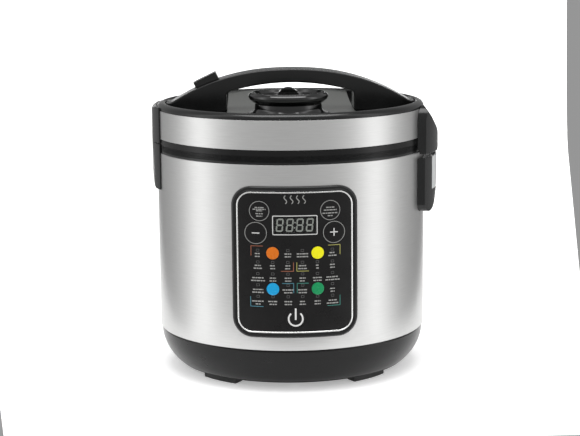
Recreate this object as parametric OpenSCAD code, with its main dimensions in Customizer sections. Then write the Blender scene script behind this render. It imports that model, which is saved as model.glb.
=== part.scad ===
// Multicooker (rice cooker) with a hinged lid, an arched carrying handle, a lift-out steam vent,
// a front control panel with nine keys, a lift-off condensate cup and a loose cooking pot.
// Millimetres. +Z is up, the front faces -Y, the lid hinge is at +X and the latch at -X.
// The origin is the body's axis on the plane that the feet rest on.

/* [Body] */
// Outer radius of the steel body and lid
body_r = 138; // [130:1:146]
// Wall of the steel sleeve and of the lid band
steel_t = 0.8; // [0.6:0.1:1.2]
// Height where the steel sleeve starts
sleeve_low = 44; // [42:0.5:48]
// Height where the steel sleeve ends
sleeve_top = 227.2; // [226:0.1:230]
// Height of the rubber feet
foot_h = 6.4; // [5:0.1:8]
// Radius of the base at its lower edge
base_low_r = 118.2; // [115:0.1:122]

/* [Lid] */
// Gap between body and lid
lid_gap = 0.6; // [0.4:0.1:1]
// Height where the steel lid band starts
band_low = 241.3; // [240:0.1:243]
// Height where the steel lid band ends
band_top = 269.9; // [269:0.1:273]
// Top of the lid's rim
rim_top = 276.1; // [275:0.1:277]
// Floor of the lid's recess
floor_z = 266; // [264:0.5:267]
// Half width of the silver trough plate
plate_half = 65; // [60:1:70]

/* [Handle] */
// Top of the arched handle
arch_top = 308.9; // [300:0.1:315]
// Half depth of the handle, front to back
arch_half = 17.5; // [15:0.5:18]
// Top of the finger opening
grip_top = 295.4; // [292:0.1:298]

/* [Steam vent] */
// Distance of the vent's axis in front of the body's axis
vent_y = 61; // [59:1:63]
// Distance of the vent's axis to the left of the body's axis
vent_left = 3.3; // [0:0.1:6]
// Largest radius of the vent
vent_r = 40; // [36:0.5:41]

/* [Panel] */
// Width of the panel frame
panel_w = 122.5; // [118:0.5:126]
// Height of the panel frame
panel_h = 149; // [146:0.5:153]
// Height of the panel's centre
panel_z = 132; // [129:0.5:134]
// Travel of a panel key
key_travel = 0.6; // [0.4:0.1:0.8]

/* [Pot] */
// Outer radius of the cooking pot
pot_r = 117.5; // [110:0.5:118]
// Wall of the cooking pot
pot_t = 2; // [1.5:0.5:3]
// Underside of the cooking pot
pot_low = 91.8; // [91.8:0.2:96]

/* [Hinge and latch] */
// Distance of the hinge axis from the body's axis
hinge_x = 143.5; // [143.3:0.1:143.7]
// Height of the hinge axis
hinge_z = 230.5; // [230.3:0.1:230.7]
// Radius of the hinge pin
pin_r = 1.8; // [1.5:0.1:2]
// Half width of the hinge cover
hinge_half = 55; // [54:0.5:56]
// Half width of the latch cover
latch_half = 38; // [36:0.5:40]

/* [Hidden] */

$fn = 96;
// Far enough to cut right through anything
big = 400;
// Running gap between pieces that move against each other
gap = 0.3;

black = [0.07, 0.07, 0.075];
satin_black = [0.13, 0.13, 0.135];
dark_grey = [0.25, 0.25, 0.26];
silver = [0.72, 0.72, 0.71];
aluminium = [0.8, 0.8, 0.8];
board_green = [0.05, 0.3, 0.16];

// Base: the black outline is an arc, upright at the sleeve, that narrows down to the feet
base_top_r = 136.9;
base_collar_top = 52.5;
base_wall = 2.5;
base_end_angle = 2 * atan((base_top_r - base_low_r) / (sleeve_low - foot_h));
base_arc_r = (sleeve_low - foot_h) / sin(base_end_angle);
base_floor = foot_h + 2.8;
base_floor_top = base_floor + 2.5;
base_floor_r = 113.2;
base_floor_in_r = 75;
cover_r = 110.8;
screw_ring_r = 106;
boss_h = 10.4;
foot_spread = 43;
foot_angle = 23;
foot_in_r = 100;
foot_out_r = 113.5;
foot_plug_r = 105;

// Power board, its terminals and the leads from the inlet
board_z = 16;
power_board_t = 1.6;
board_parts_z = board_z + power_board_t;
board_screw_x = [-25, 25];
board_screw_y = [76, 96];
terminal_y = 99.5;
lead_r = 1.3;
lead_y = 112;
lead_low = 22.2;
inlet_z = 61;

// Upper ring and pot
lid_low = 237;
ring_top = lid_low - lid_gap;
shelf_z = 231.4;
pot_rim_z = shelf_z + gap;
pot_rim_r = 124.6;
liner_r = 121;
liner_low = 78;
plate_low = 79.5;
plate_top = pot_low - gap;
spider_z = 60;

// Lid
lid_low_top = 239.5;
ledge_in_r = 126;
ledge_low = floor_z - 3.5;
rim_in_r = 129;
rim_slope = 7;
rim_round = 5.2;
plate_out_r = 131.5;
trough_mid = floor_z + 1.6;
trough_rise = rim_top - 0.3 - trough_mid;
vent_hole_r = vent_r + 1.2;
vent_stem_r = 22;

// Arch: the drop below the top grows with this power of the distance from the middle
arch_power = 2.3;
arch_drop = 28.4;
arch_reach = 114.6;
grip_power = 2;
grip_drop = 8.6;
grip_reach = 62;
arch_wall = 2.6;
arch_inner_half = 15;

// Release button, its slide direction follows the arch's slope
button_angle = 25.8;
button_at = [-88, 0, 300.9];
button_size = [25.5, 17, 15];
button_leg_x = -97;

// Latch hook
hook_pivot = [-131, 250];
catch_z = 231.5;

// Hinge: outlines in X and Z
cover_bottom = hinge_z - 5.7;
cover_top = 273;
cover_crown_r = 96;
cover_wall = 1.8;
cover_out_x = 153;
knuckle_r = 4;
arm_in = 6;
arm_out = 13;
lug_in = 13.4;
lug_out = 20;

// Condensate cup
cup_out_x = 151.8;
cup_half = 39;
cup_low = 187;
cup_top = 220.5;
cup_in_x = 142.8;
cup_wall = 1.6;

// Latch cover
latch_crown_r = 85;
latch_out_x = 143.2;

// Panel shells, as radii from the body's axis
panel_back_r = 138.1;
frame_r = 141.8;
trim_r = 141.3;
overlay_r = 141;
overlay_t = 1.6;
board_y = -124.6;
board_t = 1.6;
board_low = panel_z - 72;
board_high = panel_z + 72;
board_post_x = [-44, 44];
board_post_z = [panel_z - 68, panel_z + 68];

// Keys: x, z and radius
round_key_r = 10;
step_key_r = 11;
menu_key_r = 6.1;
power_key_r = 10.4;
round_key_at = [34.3, 182.9];
step_key_at = [37.9, 161.3];
menu_key_x = 21.8;
menu_key_z = [141.7, 106.3];
power_key_at = [0, 78];
KEYS = [[-round_key_at[0], round_key_at[1], round_key_r], [round_key_at[0], round_key_at[1], round_key_r],
    [-step_key_at[0], step_key_at[1], step_key_r], [step_key_at[0], step_key_at[1], step_key_r],
    [-menu_key_x, menu_key_z[0], menu_key_r], [menu_key_x, menu_key_z[0], menu_key_r],
    [-menu_key_x, menu_key_z[1], menu_key_r], [menu_key_x, menu_key_z[1], menu_key_r],
    [power_key_at[0], power_key_at[1], power_key_r]];
window_size = [43.4, 18.8];
window_z = 169.1;

// ---------- shared shapes ----------

function arc(cx, cy, r, a0, a1, n) = [for (i = [0:n]) [cx + r * cos(a0 + (a1 - a0) * i / n),
    cy + r * sin(a0 + (a1 - a0) * i / n)]];
function arch_z(x) = arch_top - arch_drop * pow(abs(x) / arch_reach, arch_power);
function grip_z(x) = grip_top - grip_drop * pow(abs(x) / grip_reach, grip_power);
function trough_z(y) = trough_mid + trough_rise * pow(y / plate_out_r, 2);

// Ring with a flat section
module tube(r_out, r_in, z0, z1) {
    translate([0, 0, z0]) difference() {
        cylinder(r = r_out, h = z1 - z0);
        translate([0, 0, -1]) cylinder(r = r_in, h = z1 - z0 + 2);
    }
}

// Box between two corners
module block(a, b) {
    translate(a) cube(b - a);
}

// Outline in X and Z, pushed out along Y between two depths
module slab_y(y0, y1) {
    translate([0, y1, 0]) rotate([90, 0, 0]) linear_extrude(y1 - y0) children();
}

// Outline in Y and Z, pushed out along X between two places
module slab_x(x0, x1) {
    translate([x0, 0, 0]) rotate([90, 0, 90]) linear_extrude(x1 - x0) children();
}

// Rectangle with round corners, about its centre
module soft_rect(w, h, r) {
    square([w - 2 * r, h], center = true);
    square([w, h - 2 * r], center = true);
    for (x = [-1, 1], y = [-1, 1]) translate([x * (w / 2 - r), y * (h / 2 - r)]) circle(r);
}

// Part of a cylindrical shell at the front, cut to the outline given in X and Z
module front_shell(r_in, r_out) {
    intersection() {
        difference() {
            translate([0, 0, 40]) cylinder(r = r_out, h = 190, $fn = 240);
            translate([0, 0, 39]) cylinder(r = r_in, h = 192, $fn = 240);
        }
        slab_y(-160, -90) children();
    }
}

// Coil spring as one swept wire
module coil(r, wire_r, height, turns, per_turn = 12, sides = 6) {
    n = turns * per_turn;
    rings = [for (i = [0:n]) let (a = 360 * i / per_turn, z = wire_r + (height - 2 * wire_r) * i / n)
        [for (k = [0:sides - 1]) let (b = 360 * k / sides)
            [(r + wire_r * cos(b)) * cos(a), (r + wire_r * cos(b)) * sin(a), z + wire_r * sin(b)]]];
    skin = [for (i = [0:n - 1], k = [0:sides - 1]) let (m = (k + 1) % sides)
        [i * sides + k, (i + 1) * sides + k, (i + 1) * sides + m, i * sides + m]];
    ends = [[for (k = [0:sides - 1]) k], [for (k = [sides - 1:-1:0]) n * sides + k]];
    polyhedron([for (ring = rings) for (p = ring) p], concat(skin, ends), convexity = 6);
}

// ---------- body ----------

module at_screws() {
    for (a = [0:90:270]) rotate(a) translate([screw_ring_r, 0, 0]) children();
}

module at_feet() {
    for (turn = [-foot_spread, foot_spread, 180 - foot_spread, 180 + foot_spread])
        rotate(turn - 90) children();
}

// Arc-shaped feet, each with a plug that holds it in the floor
module rubber_feet() color(satin_black) at_feet() {
    rotate(-foot_angle / 2) rotate_extrude(angle = foot_angle) polygon([[foot_in_r, 0.8],
        [foot_in_r + 0.8, 0], [foot_out_r - 0.8, 0], [foot_out_r, 0.8], [foot_out_r, foot_h],
        [foot_in_r, foot_h]]);
    translate([foot_plug_r, 0, foot_h - 0.1]) cylinder(r = 3, h = 2.7);
}

// Outer tub: its outline is an arc, its collar sits inside the sleeve and its foot carries the floor
module base_housing() {
    cx = base_top_r - base_arc_r;
    in_r = base_arc_r - base_wall;
    outer = arc(cx, sleeve_low, base_arc_r, 0, -base_end_angle, 14);
    inner = arc(cx, sleeve_low, in_r, -asin((sleeve_low - base_floor) / in_r), 0, 14);
    color(satin_black) difference() {
        rotate_extrude() polygon(concat([[base_top_r, base_collar_top]], outer,
            [[cover_r + 0.2, foot_h], [cover_r + 0.2, base_floor], [base_floor_r + 0.1, base_floor]],
            inner, [[base_top_r - 3, base_collar_top]]));
        block([-15.2, 120, 49], [15.2, 140, 60]);
    }
}

// Floor ring with the screw bosses, the board's standoffs and the sockets of the feet
module base_floor_ring() color(satin_black) difference() {
    union() {
        tube(base_floor_r, base_floor_in_r, base_floor, base_floor_top);
        at_screws() translate([0, 0, base_floor]) cylinder(r = 4, h = boss_h);
        for (x = board_screw_x, y = board_screw_y) translate([x, y, base_floor])
            cylinder(r = 3, h = board_z - base_floor);
    }
    at_screws() translate([0, 0, base_floor - 1]) cylinder(r = 1.55, h = boss_h);
    at_feet() translate([foot_plug_r, 0, base_floor - 1]) cylinder(r = 3.2, h = 5);
}

module bottom_cover() color(satin_black) difference() {
    translate([0, 0, foot_h]) cylinder(r = cover_r, h = 2.6);
    at_screws() cylinder(r = 1.7, h = 20);
    at_feet() translate([foot_plug_r, 0, 0]) cylinder(r = 3.02, h = 20);
    // Air slots in two rings
    for (a = [15:15:345]) rotate(a) {
        block([28, -1.5, 0], [48, 1.5, 20]);
        block([58, -1.5, 0], [82, 1.5, 20]);
    }
}

module bottom_screws() color(aluminium) at_screws() {
    translate([0, 0, foot_h - 1.6]) cylinder(r = 3.2, h = 1.6);
    translate([0, 0, foot_h - 0.1]) cylinder(r = 1.5, h = 12);
}

module body_sleeve() color(silver) difference() {
    tube(body_r, body_r - steel_t, sleeve_low, sleeve_top);
    block([-51, -150, panel_z - 72.5], [51, -100, panel_z + 72.5]);
    block([-14.6, 120, 49.6], [14.6, 150, 72.4]);
    // Drain from the upper ring to the condensate cup
    translate([120, 0, 214]) rotate([0, 90, 0]) cylinder(r = 3, h = 30);
}

// Black ring that carries the pot's rim, with a slot for the latch hook and two arms for the pin
module upper_ring() color(black) difference() {
    union() {
        rotate_extrude() polygon([[body_r, sleeve_top], [body_r, ring_top - 0.6],
            [body_r - 0.6, ring_top], [127.2, ring_top], [125.6, shelf_z], [119.8, shelf_z],
            [119.8, 227], [122.6, 227],
            [122.6, 228.9], [126.5, 228.9], [128.2, 233.4], [134.6, 233.4], [134.6, 222],
            [body_r - steel_t - 0.1, 222], [body_r - steel_t - 0.1, sleeve_top]]);
        for (y = [-arm_out, arm_in]) {
            along_hinge(knuckle_r, y, y + arm_out - arm_in);
            block([136, y, sleeve_top + 0.1], [hinge_x, y + arm_out - arm_in, hinge_z + knuckle_r]);
        }
    }
    block([-135, -9, 232], [-129.4, 9, ring_top + 1]);
    along_hinge(pin_r + 0.02, -60, 60);
}

module inner_liner() color(aluminium) {
    tube(liner_r, liner_r - 0.8, liner_low, 227);
    tube(liner_r, 92, liner_low, liner_low + 0.8);
}

module heating_plate() color(aluminium) difference() {
    rotate_extrude() polygon([[0, plate_low], [84, plate_low], [88, plate_low + 3],
        [88, plate_top - 1], [87, plate_top], [0, plate_top]]);
    translate([0, 0, plate_low - 1]) cylinder(r = 17, h = 20);
}

module heating_element() color(dark_grey) {
    translate([0, 0, plate_low - 4.5]) rotate(12) rotate_extrude(angle = 336)
        translate([60, 0]) circle(4.5, $fn = 32);
    for (a = [18, 342]) rotate(a) translate([60, 0, plate_low - 24]) cylinder(r = 2.5, h = 18, $fn = 24);
}

// Three posts under the heating plate, joined by the spider that holds the thermostat's spring
module plate_supports() color(aluminium) {
    for (a = [30, 150, 270]) rotate(a) {
        translate([80, 0, base_floor_top]) cylinder(r = 4, h = plate_low - base_floor_top);
        block([0, -4, spider_z], [80, 4, spider_z + 1.5]);
    }
    translate([0, 0, spider_z]) cylinder(r = 13, h = 2);
}

module side_heater_band() color(dark_grey) tube(liner_r + 1.2, liner_r, 150, 185);

module thermal_fuse() color("white") {
    translate([-28, 30, plate_low - 6]) rotate([0, 90, 0]) cylinder(r = 2.5, h = 22, $fn = 32);
    block([-24, 27, plate_low - 3.6], [-10, 33, plate_low]);
}

module power_board() color(board_green) {
    difference() {
        block([-31, 70, board_z], [31, 101, board_parts_z]);
        for (x = board_screw_x, y = board_screw_y) translate([x, y, 10]) cylinder(r = 1.6, h = 10);
    }
    // Transformer, relay, capacitor and terminal block, soldered on
    block([-14, 71, board_parts_z], [8, 88, 38]);
    block([11, 72, board_parts_z], [21, 88, 33]);
    translate([-22, 86, board_parts_z]) cylinder(r = 5, h = 24);
    block([-11, 91, board_parts_z], [11, terminal_y, 28]);
}

// Three-pin inlet at the back
module power_inlet() color(black) difference() {
    union() {
        intersection() {
            slab_y(130, 140.6) translate([0, inlet_z]) soft_rect(48, 28, 5);
            difference() {
                block([-30, 130, 40], [30, 141, 80]);
                translate([0, 0, 39]) cylinder(r = body_r + 0.1, h = 50);
            }
        }
        block([-14.2, 120, 50], [14.2, 139.5, 72]);
    }
    block([-12, 123, 52.5], [12, 142, 69.5]);
}

// Insulated leads from the inlet to the power board
module power_leads() color([0.35, 0.2, 0.12]) for (x = [-8, 0, 8]) {
    translate([x, lead_y, inlet_z]) rotate([-90, 0, 0]) cylinder(r = lead_r, h = 8, $fn = 24);
    translate([x, lead_y, inlet_z]) sphere(lead_r, $fn = 24);
    translate([x, lead_y, lead_low]) cylinder(r = lead_r, h = inlet_z - lead_low, $fn = 24);
    translate([x, lead_y, lead_low]) sphere(lead_r, $fn = 24);
    translate([x, terminal_y, lead_low]) rotate([-90, 0, 0])
        cylinder(r = lead_r, h = lead_y - terminal_y, $fn = 24);
}

// ---------- control panel ----------

module panel_outline(inset, r) {
    translate([0, panel_z]) soft_rect(panel_w - 2 * inset, panel_h - 2 * inset, r);
}

module panel_frame() color(black) {
    front_shell(panel_back_r, 139.3) difference() {
        panel_outline(0, 19);
        panel_outline(7.4, 12);
    }
    front_shell(139.2, frame_r) difference() {
        panel_outline(0, 19);
        panel_outline(4.9, 16);
    }
    for (x = board_post_x, z = board_post_z) translate([x, board_y, z]) rotate([90, 0, 0])
        cylinder(r = 2.6, h = 6.7);
}

module panel_trim() color(silver) front_shell(139.4, trim_r) difference() {
    panel_outline(5, 16);
    panel_outline(5.8, 15.2);
}

module panel_overlay() color(black) front_shell(overlay_r - overlay_t, overlay_r) difference() {
    panel_outline(5.9, 15.1);
    for (k = KEYS) translate([k[0], k[1]]) circle(k[2] + 0.25);
    translate([0, window_z]) soft_rect(window_size[0] + 0.2, window_size[1] + 0.2, 1.3);
}

module display_window() color([0.1, 0.1, 0.1, 0.6]) front_shell(overlay_r - overlay_t, overlay_r + 0.1)
    translate([0, window_z]) soft_rect(window_size[0], window_size[1], 1.2);
module control_board() color(board_green) {
    difference() {
        block([-50, board_y, board_low], [50, board_y + board_t, board_high]);
        for (x = board_post_x, z = board_post_z) translate([x, -100, z]) rotate([90, 0, 0])
            cylinder(r = 1.6, h = 60);
    }
    // Display module and one switch behind each key, soldered on
    block([-21.4, -136.8, window_z - 9.2], [21.4, board_y, window_z + 9.2]);
    for (k = KEYS) {
        block([k[0] - 3, board_y - 2.4, k[1] - 3], [k[0] + 3, board_y, k[1] + 3]);
        translate([k[0], board_y - 2.3, k[1]]) rotate([90, 0, 0]) cylinder(r = 1.7, h = 0.7, $fn = 32);
    }
}

// One key: a crowned cap, a flange behind the overlay and a stem towards its switch
module key(i, proud) {
    k = KEYS[i];
    back = -sqrt(pow(overlay_r - overlay_t, 2) - pow(abs(k[0]) + k[2] + 1.2, 2)) + 0.5;
    stem_end = board_y - 3.2 - key_travel;
    intersection() {
        translate([k[0], back, k[1]]) rotate([90, 0, 0]) cylinder(r = k[2], h = 30);
        translate([0, 0, 40]) cylinder(r = overlay_r + proud, h = 190, $fn = 360);
    }
    translate([k[0], back + 1.2, k[1]]) rotate([90, 0, 0]) cylinder(r = k[2] + 0.4, h = 1.2);
    translate([k[0], stem_end, k[1]]) rotate([90, 0, 0])
        cylinder(r = 2.5, h = max(0.5, stem_end - back));
}

module function_key_left() color(black) key(0, 0.25);
module function_key_right() color(black) key(1, 0.25);
module minus_key() color(black) key(2, 0.25);
module plus_key() color(black) key(3, 0.25);
module orange_key() color([0.94, 0.5, 0.15]) key(4, 0.4);
module yellow_key() color([0.95, 0.9, 0.15]) key(5, 0.4);
module blue_key() color([0.12, 0.64, 0.9]) key(6, 0.4);
module green_key() color([0.1, 0.58, 0.3]) key(7, 0.4);
module power_key() color(black) key(8, 0.25);

// ---------- hinge and latch on the body ----------

module clear_of_body() {
    difference() {
        children();
        translate([0, 0, 100]) cylinder(r = body_r + 0.1, h = 200);
    }
}

module along_hinge(r, y0, y1) {
    translate([hinge_x, y1, hinge_z]) rotate([90, 0, 0]) cylinder(r = r, h = y1 - y0);
}

// Block behind the condensate cup, crowned like the hinge cover above it
module hinge_housing() color(black) difference() {
    clear_of_body() intersection() {
        slab_y(-hinge_half, hinge_half) polygon([[120, 167], [122, 165], [139.5, 165],
            [142, 165.6], [144.3, 167.4], [146.4, 171.3], [148.2, 179.6], [149.8, 187],
            [cup_out_x - 0.4, 188], [cup_out_x - 0.4, cup_top], [120, cup_top]]);
        translate([cup_out_x - cover_crown_r, 0, 150]) cylinder(r = cover_crown_r, h = 80);
        slab_x(100, 160) translate([0, 198]) soft_rect(2 * hinge_half, 66, 10);
    }
    block([cup_in_x - gap, -cup_half - gap, cup_low - gap], [160, cup_half + gap, 230]);
    // Drain into the cup
    translate([130, 0, 214]) rotate([0, 90, 0]) cylinder(r = 3, h = 20);
}

module hinge_pin() color(aluminium) along_hinge(pin_r, -lug_out, lug_out);

module hinge_spring() color(dark_grey) translate([hinge_x, arm_in - 0.5, hinge_z]) rotate([90, 0, 0])
    coil(r = 2.8, wire_r = 0.5, height = 2 * arm_in - 1, turns = 8);

module latch_block(z0, z1) {
    clear_of_body() intersection() {
        translate([latch_crown_r - latch_out_x, 0, z0]) cylinder(r = latch_crown_r, h = z1 - z0);
        slab_y(-latch_half, latch_half) children();
    }
}

module latch_housing() color(black) latch_block(188, 240) polygon([[-120, 189.5], [-138.8, 189.5],
    [-140.3, 191], [-141.2, 195], [-142.3, 204], [-latch_out_x, 211],
    [-latch_out_x, ring_top - 0.2], [-120, ring_top - 0.2]]);

// Steel catch under the slot in the upper ring
module latch_catch() color(aluminium) difference() {
    block([-134.4, -8, catch_z], [-128.6, 8, 233.3]);
    block([-135.5, -7, catch_z - 1], [-129.4, 7, 234]);
}

module sensor_spring() color(dark_grey) translate([0, 0, spider_z + 2])
    coil(r = 9, wire_r = 0.7, height = 14, turns = 6);

// ---------- lid ----------

module lid_band() color(silver) tube(body_r, body_r - steel_t, band_low, band_top);

// Black rim of the lid: rounded top, wall behind the band and a ledge that carries the recess floor
module lid_top_cover() color(black) difference() {
    rotate_extrude() polygon(concat([[body_r - 0.9, band_low + 0.1], [body_r - 0.9, band_top],
        [body_r, band_top]], [for (a = [0:10:90]) [body_r - rim_slope * (1 - cos(a)),
        rim_top - rim_round * (1 - sin(a))]],
        arc(rim_in_r + 2, rim_top - 2, 2, 90, 180, 6),
        [[rim_in_r, floor_z - 2], [ledge_in_r, floor_z - 2], [ledge_in_r, ledge_low],
        [body_r - 3.2, ledge_low], [body_r - 3.2, band_low + 0.1]]));
    // Seat of the trough plate
    intersection() {
        slab_x(-plate_half, plate_half) polygon(concat([for (y = [-136:8:136]) [y, trough_z(y) - 1.6]],
            [[136, 290], [-136, 290]]));
        cylinder(r = plate_out_r + 0.1, h = big);
    }
}

// Floor of the recess, with the vent's seat and a slot for the button's leg
module lid_recess_floor() color(black) difference() {
    translate([0, 0, floor_z - 2]) cylinder(r = rim_in_r - 0.05, h = 2);
    at_vent(250) cylinder(r = vent_stem_r + 3, h = 30);
    block([-98.8, -6, 255], [-88.2, 6, 280]);
}

// Silver plate, dished from front to back, with side skirts and a hole for the vent
module lid_trough_plate() color(silver) difference() {
    union() {
        intersection() {
            slab_x(-plate_half + 0.2, plate_half - 0.2) polygon(concat(
                [for (y = [-136:8:136]) [y, trough_z(y)]],
                [for (y = [136:-8:-136]) [y, trough_z(y) - 1.6]]));
            cylinder(r = plate_out_r, h = big);
        }
        for (s = [-1, 1]) intersection() {
            slab_x(s * (plate_half - 1) - 0.8, s * (plate_half - 1) + 0.8)
                polygon(concat([for (y = [-112:8:112]) [y, trough_z(y) - 0.8]],
                    [[112, floor_z], [-112, floor_z]]));
            cylinder(r = rim_in_r - 0.2, h = big);
        }
    }
    at_vent(250) cylinder(r = vent_hole_r, h = 40);
}

module at_vent(z) {
    translate([-vent_left, -vent_y, z]) children();
}

module at_button() {
    translate(button_at) rotate([0, -button_angle, 0]) children();
}

// Hollow arch: two webs on the recess floor and the grip between them
module handle_arch() color(black) difference() {
    intersection() {
        slab_y(-arch_half, arch_half) polygon(concat([for (x = [-132:6:132]) [x, max(arch_z(x), rim_top)]],
            [[132, floor_z], [-132, floor_z]]));
        cylinder(r = rim_in_r - 0.2, h = big);
    }
    slab_y(-30, 30) polygon(concat([[-plate_half, floor_z - 1], [-plate_half, grip_z(grip_reach) - 1.8]],
        [for (x = [-62:4:62]) [x, grip_z(x)]],
        [[plate_half, grip_z(grip_reach) - 1.8], [plate_half, floor_z - 1]]));
    slab_y(-arch_inner_half, arch_inner_half) polygon(concat([for (x = [-62:4:62]) [x, grip_z(x) - 1]],
        [for (x = [62:-4:-62]) [x, arch_z(x) - arch_wall]]));
    for (s = [-1, 1]) slab_y(-arch_inner_half, arch_inner_half)
        polygon(concat([[s * 118, floor_z - 1], [s * 67.5, floor_z - 1]],
        [for (x = [67.5:5.05:118]) [s * x, arch_z(x) - arch_wall]]));
    at_button() block([-13.15, -8.9, -14], [13.15, 8.9, 6]);
}

module handle_underside() color(black) slab_y(-arch_inner_half, arch_inner_half)
    polygon(concat([for (x = [-62:4:62]) [x, grip_z(x)]], [for (x = [62:-4:-62]) [x, grip_z(x) + 2.5]]));

// Shell over the hinge: crowned outer face, rounded top corners, open towards the lid and below
module hinge_cover_shape(inset) {
    intersection() {
        translate([-inset, 0, 0]) slab_y(-hinge_half + inset, hinge_half - inset) polygon([[110, 200],
            [cover_out_x - 2.5, 200], [cover_out_x - 2.5, cover_bottom], [cover_out_x, cover_bottom + 3.8],
            [cover_out_x, 236], [152, 242.5], [149.6, 248.6], [146.3, 254.8], [142.9, 261],
            [138.8, 267], [134.6, cover_top], [110, cover_top]]);
        translate([cover_out_x - cover_crown_r, 0, 200]) cylinder(r = cover_crown_r - inset, h = 80);
        slab_x(100, 160) translate([0, cover_top - 36 - inset]) soft_rect(2 * (hinge_half - inset), 72, 16);
    }
}

module hinge_cover() color(black) difference() {
    clear_of_body() intersection() {
        hinge_cover_shape(0);
        block([100, -60, cover_bottom], [160, 60, 280]);
    }
    hinge_cover_shape(cover_wall);
    // Keeps the lower corners clear of the body as the lid swings
    difference() {
        block([100, -60, 200], [160, 60, hinge_z]);
        along_hinge(15.4, -61, 61);
    }
}

// Lugs that turn on the pin, on a strap behind the cover
module lid_hinge_bracket() color(dark_grey) difference() {
    intersection() {
        clear_of_body() {
            for (y = [lug_in, -lug_out]) {
                along_hinge(knuckle_r, y, y + lug_out - lug_in);
                slab_y(y, y + lug_out - lug_in) polygon([[126, 242], [135, 242],
                    [hinge_x - 3.9, hinge_z + 0.5], [160, hinge_z + 0.5], [160, 262], [126, 262]]);
            }
            intersection() {
                translate([0, 0, 242]) cylinder(r = body_r + 2.4, h = 20);
                block([100, -50, 242], [160, 50, 262]);
            }
        }
        hinge_cover_shape(cover_wall + 0.1);
    }
    along_hinge(pin_r + 0.05, -60, 60);
}

module latch_cover() color(black) latch_block(230, 280) polygon([[-120, lid_low + 0.3],
    [-latch_out_x, lid_low + 0.3], [-latch_out_x, 269.5], [1.2 - latch_out_x, 271.8], [-138, 273.4],
    [-120, 273.4]]);

// Lower half of the lid: visible ring, floor, hook posts, vent collar and the stud for the inner plate
module lid_lower_cover() color(black) difference() {
    union() {
        rotate_extrude() polygon([[0, lid_low], [body_r - 0.5, lid_low], [body_r, lid_low + 0.5],
            [body_r, band_low], [134.6, band_low], [134.6, lid_low_top], [0, lid_low_top]]);
        translate([0, 0, 228.6]) cylinder(r = 5, h = 9);
        at_vent(0) tube(28, 25.5, lid_low_top - 0.1, 244);
        for (y = [-12, 9]) block([-133.9, y, lid_low_top - 0.1], [-128, y + 3, 253]);
    }
    at_vent(230) cylinder(r = 10, h = 20);
    block([-134.6, -8, 230], [-126, 8, 245]);
    translate([45, 40, 230]) cylinder(r = 4.1, h = 20);
    translate([hook_pivot[0], 20, hook_pivot[1]]) rotate([90, 0, 0]) cylinder(r = 1.52, h = 40);
}

module inner_lid_plate() color(aluminium) difference() {
    rotate_extrude() polygon([[0, 229.6], [110, 229.6], [112, 231], [112, lid_low], [111, lid_low],
        [111, 231.8], [109.8, 230.8], [0, 230.8]]);
    translate([0, 0, 225]) cylinder(r = 5.1, h = 20);
    translate([45, 40, 225]) cylinder(r = 4.3, h = 20);
    for (a = [0:60:300]) at_vent(225) rotate(a) translate([9, 0, 0]) cylinder(r = 2.5, h = 20);
}

module lid_gasket() color([0.85, 0.85, 0.85]) rotate_extrude() polygon([[112, 235],
    [112, lid_low], [122.6, lid_low], [124, pot_rim_z + 1.9], [122.4, pot_rim_z + 1.9], [120.6, 235]]);

module steam_gasket() color([0.85, 0.85, 0.85]) at_vent(0) tube(25.5, 22.7, lid_low_top, floor_z - 2);

module lid_sensor() color(aluminium) translate([45, 40, 0]) {
    translate([0, 0, 227.4]) cylinder(r = 4, h = 16, $fn = 48);
    translate([0, 0, lid_low_top]) cylinder(r = 7, h = 2, $fn = 48);
}

module latch_pin() color(aluminium) translate([hook_pivot[0], 12, hook_pivot[1]]) rotate([90, 0, 0])
    cylinder(r = 1.5, h = 24);

module button_spring() color(aluminium) translate([-82, 0, floor_z])
    coil(r = 3.4, wire_r = 0.5, height = 18, turns = 8);

// ---------- moving pieces of the lid ----------

module release_button() color(black) {
    at_button() block([-button_size[0] / 2, -button_size[1] / 2, -button_size[2]],
        [button_size[0] / 2, button_size[1] / 2, 0]);
    block([button_leg_x, -4, 257.6], [button_leg_x + 5, 4, 286.5]);
}

module latch_hook() color(dark_grey) difference() {
    union() {
        translate([hook_pivot[0], 6, hook_pivot[1]]) rotate([90, 0, 0]) cylinder(r = 3.2, h = 12);
        slab_y(-6, 6) polygon([[-131.6, 229.6], [-131.2, 228.8], [-129.7, 230.4],
            [-129.7, 231.2], [-130, 231.4], [-130, 248], [-90, 254.3],
            [-90, 257.3], [-132.5, 253], [-133, 249], [-131.6, 247]]);
    }
    translate([hook_pivot[0], 20, hook_pivot[1]]) rotate([90, 0, 0]) cylinder(r = 1.55, h = 40);
}

// Lift-out cup: a straight well with a drain hole
module vent_cup() color(black) at_vent(0) rotate_extrude() polygon([[3, 246], [vent_stem_r, 246],
    [vent_stem_r, 279], [20, 279], [20, 248], [3, 248]]);

// Flange of the cup: rests on the recess floor and narrows to a collar for the cap
module vent_flange() color(black) at_vent(0) rotate_extrude() polygon([[vent_stem_r, floor_z + gap],
    [vent_r, floor_z + gap], [vent_r, 270], [36, 271.2], [34, 273.3], [33.4, 276], [33.4, 279],
    [vent_stem_r, 279]]);

// Cap: flared wall, dished top with steam holes, half-disc grip and a plug that centres it on the cup
module vent_cap() color(black) at_vent(0) {
    difference() {
        rotate_extrude() polygon([[0, 281.6], [16.8, 281.6], [16.8, 278], [19.6, 278], [19.6, 279.3],
            [33.4, 279.3], [39.7, 283.8], [39.7, 288.2], [38.6, 289], [36.2, 289.2], [35.4, 290.4],
            [34.2, 290.4], [31, 286], [0, 286]]);
        for (a = [-40, 40, 140, 220]) rotate(a) translate([13, 0, 276]) cylinder(r = 2.4, h = 14);
    }
    intersection() {
        translate([0, 3, 283.5]) rotate([90, 0, 0]) cylinder(r = 11.5, h = 6);
        block([-20, -5, 285.9], [20, 5, 300]);
    }
}

// ---------- pot, thermostat and cup ----------

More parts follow.
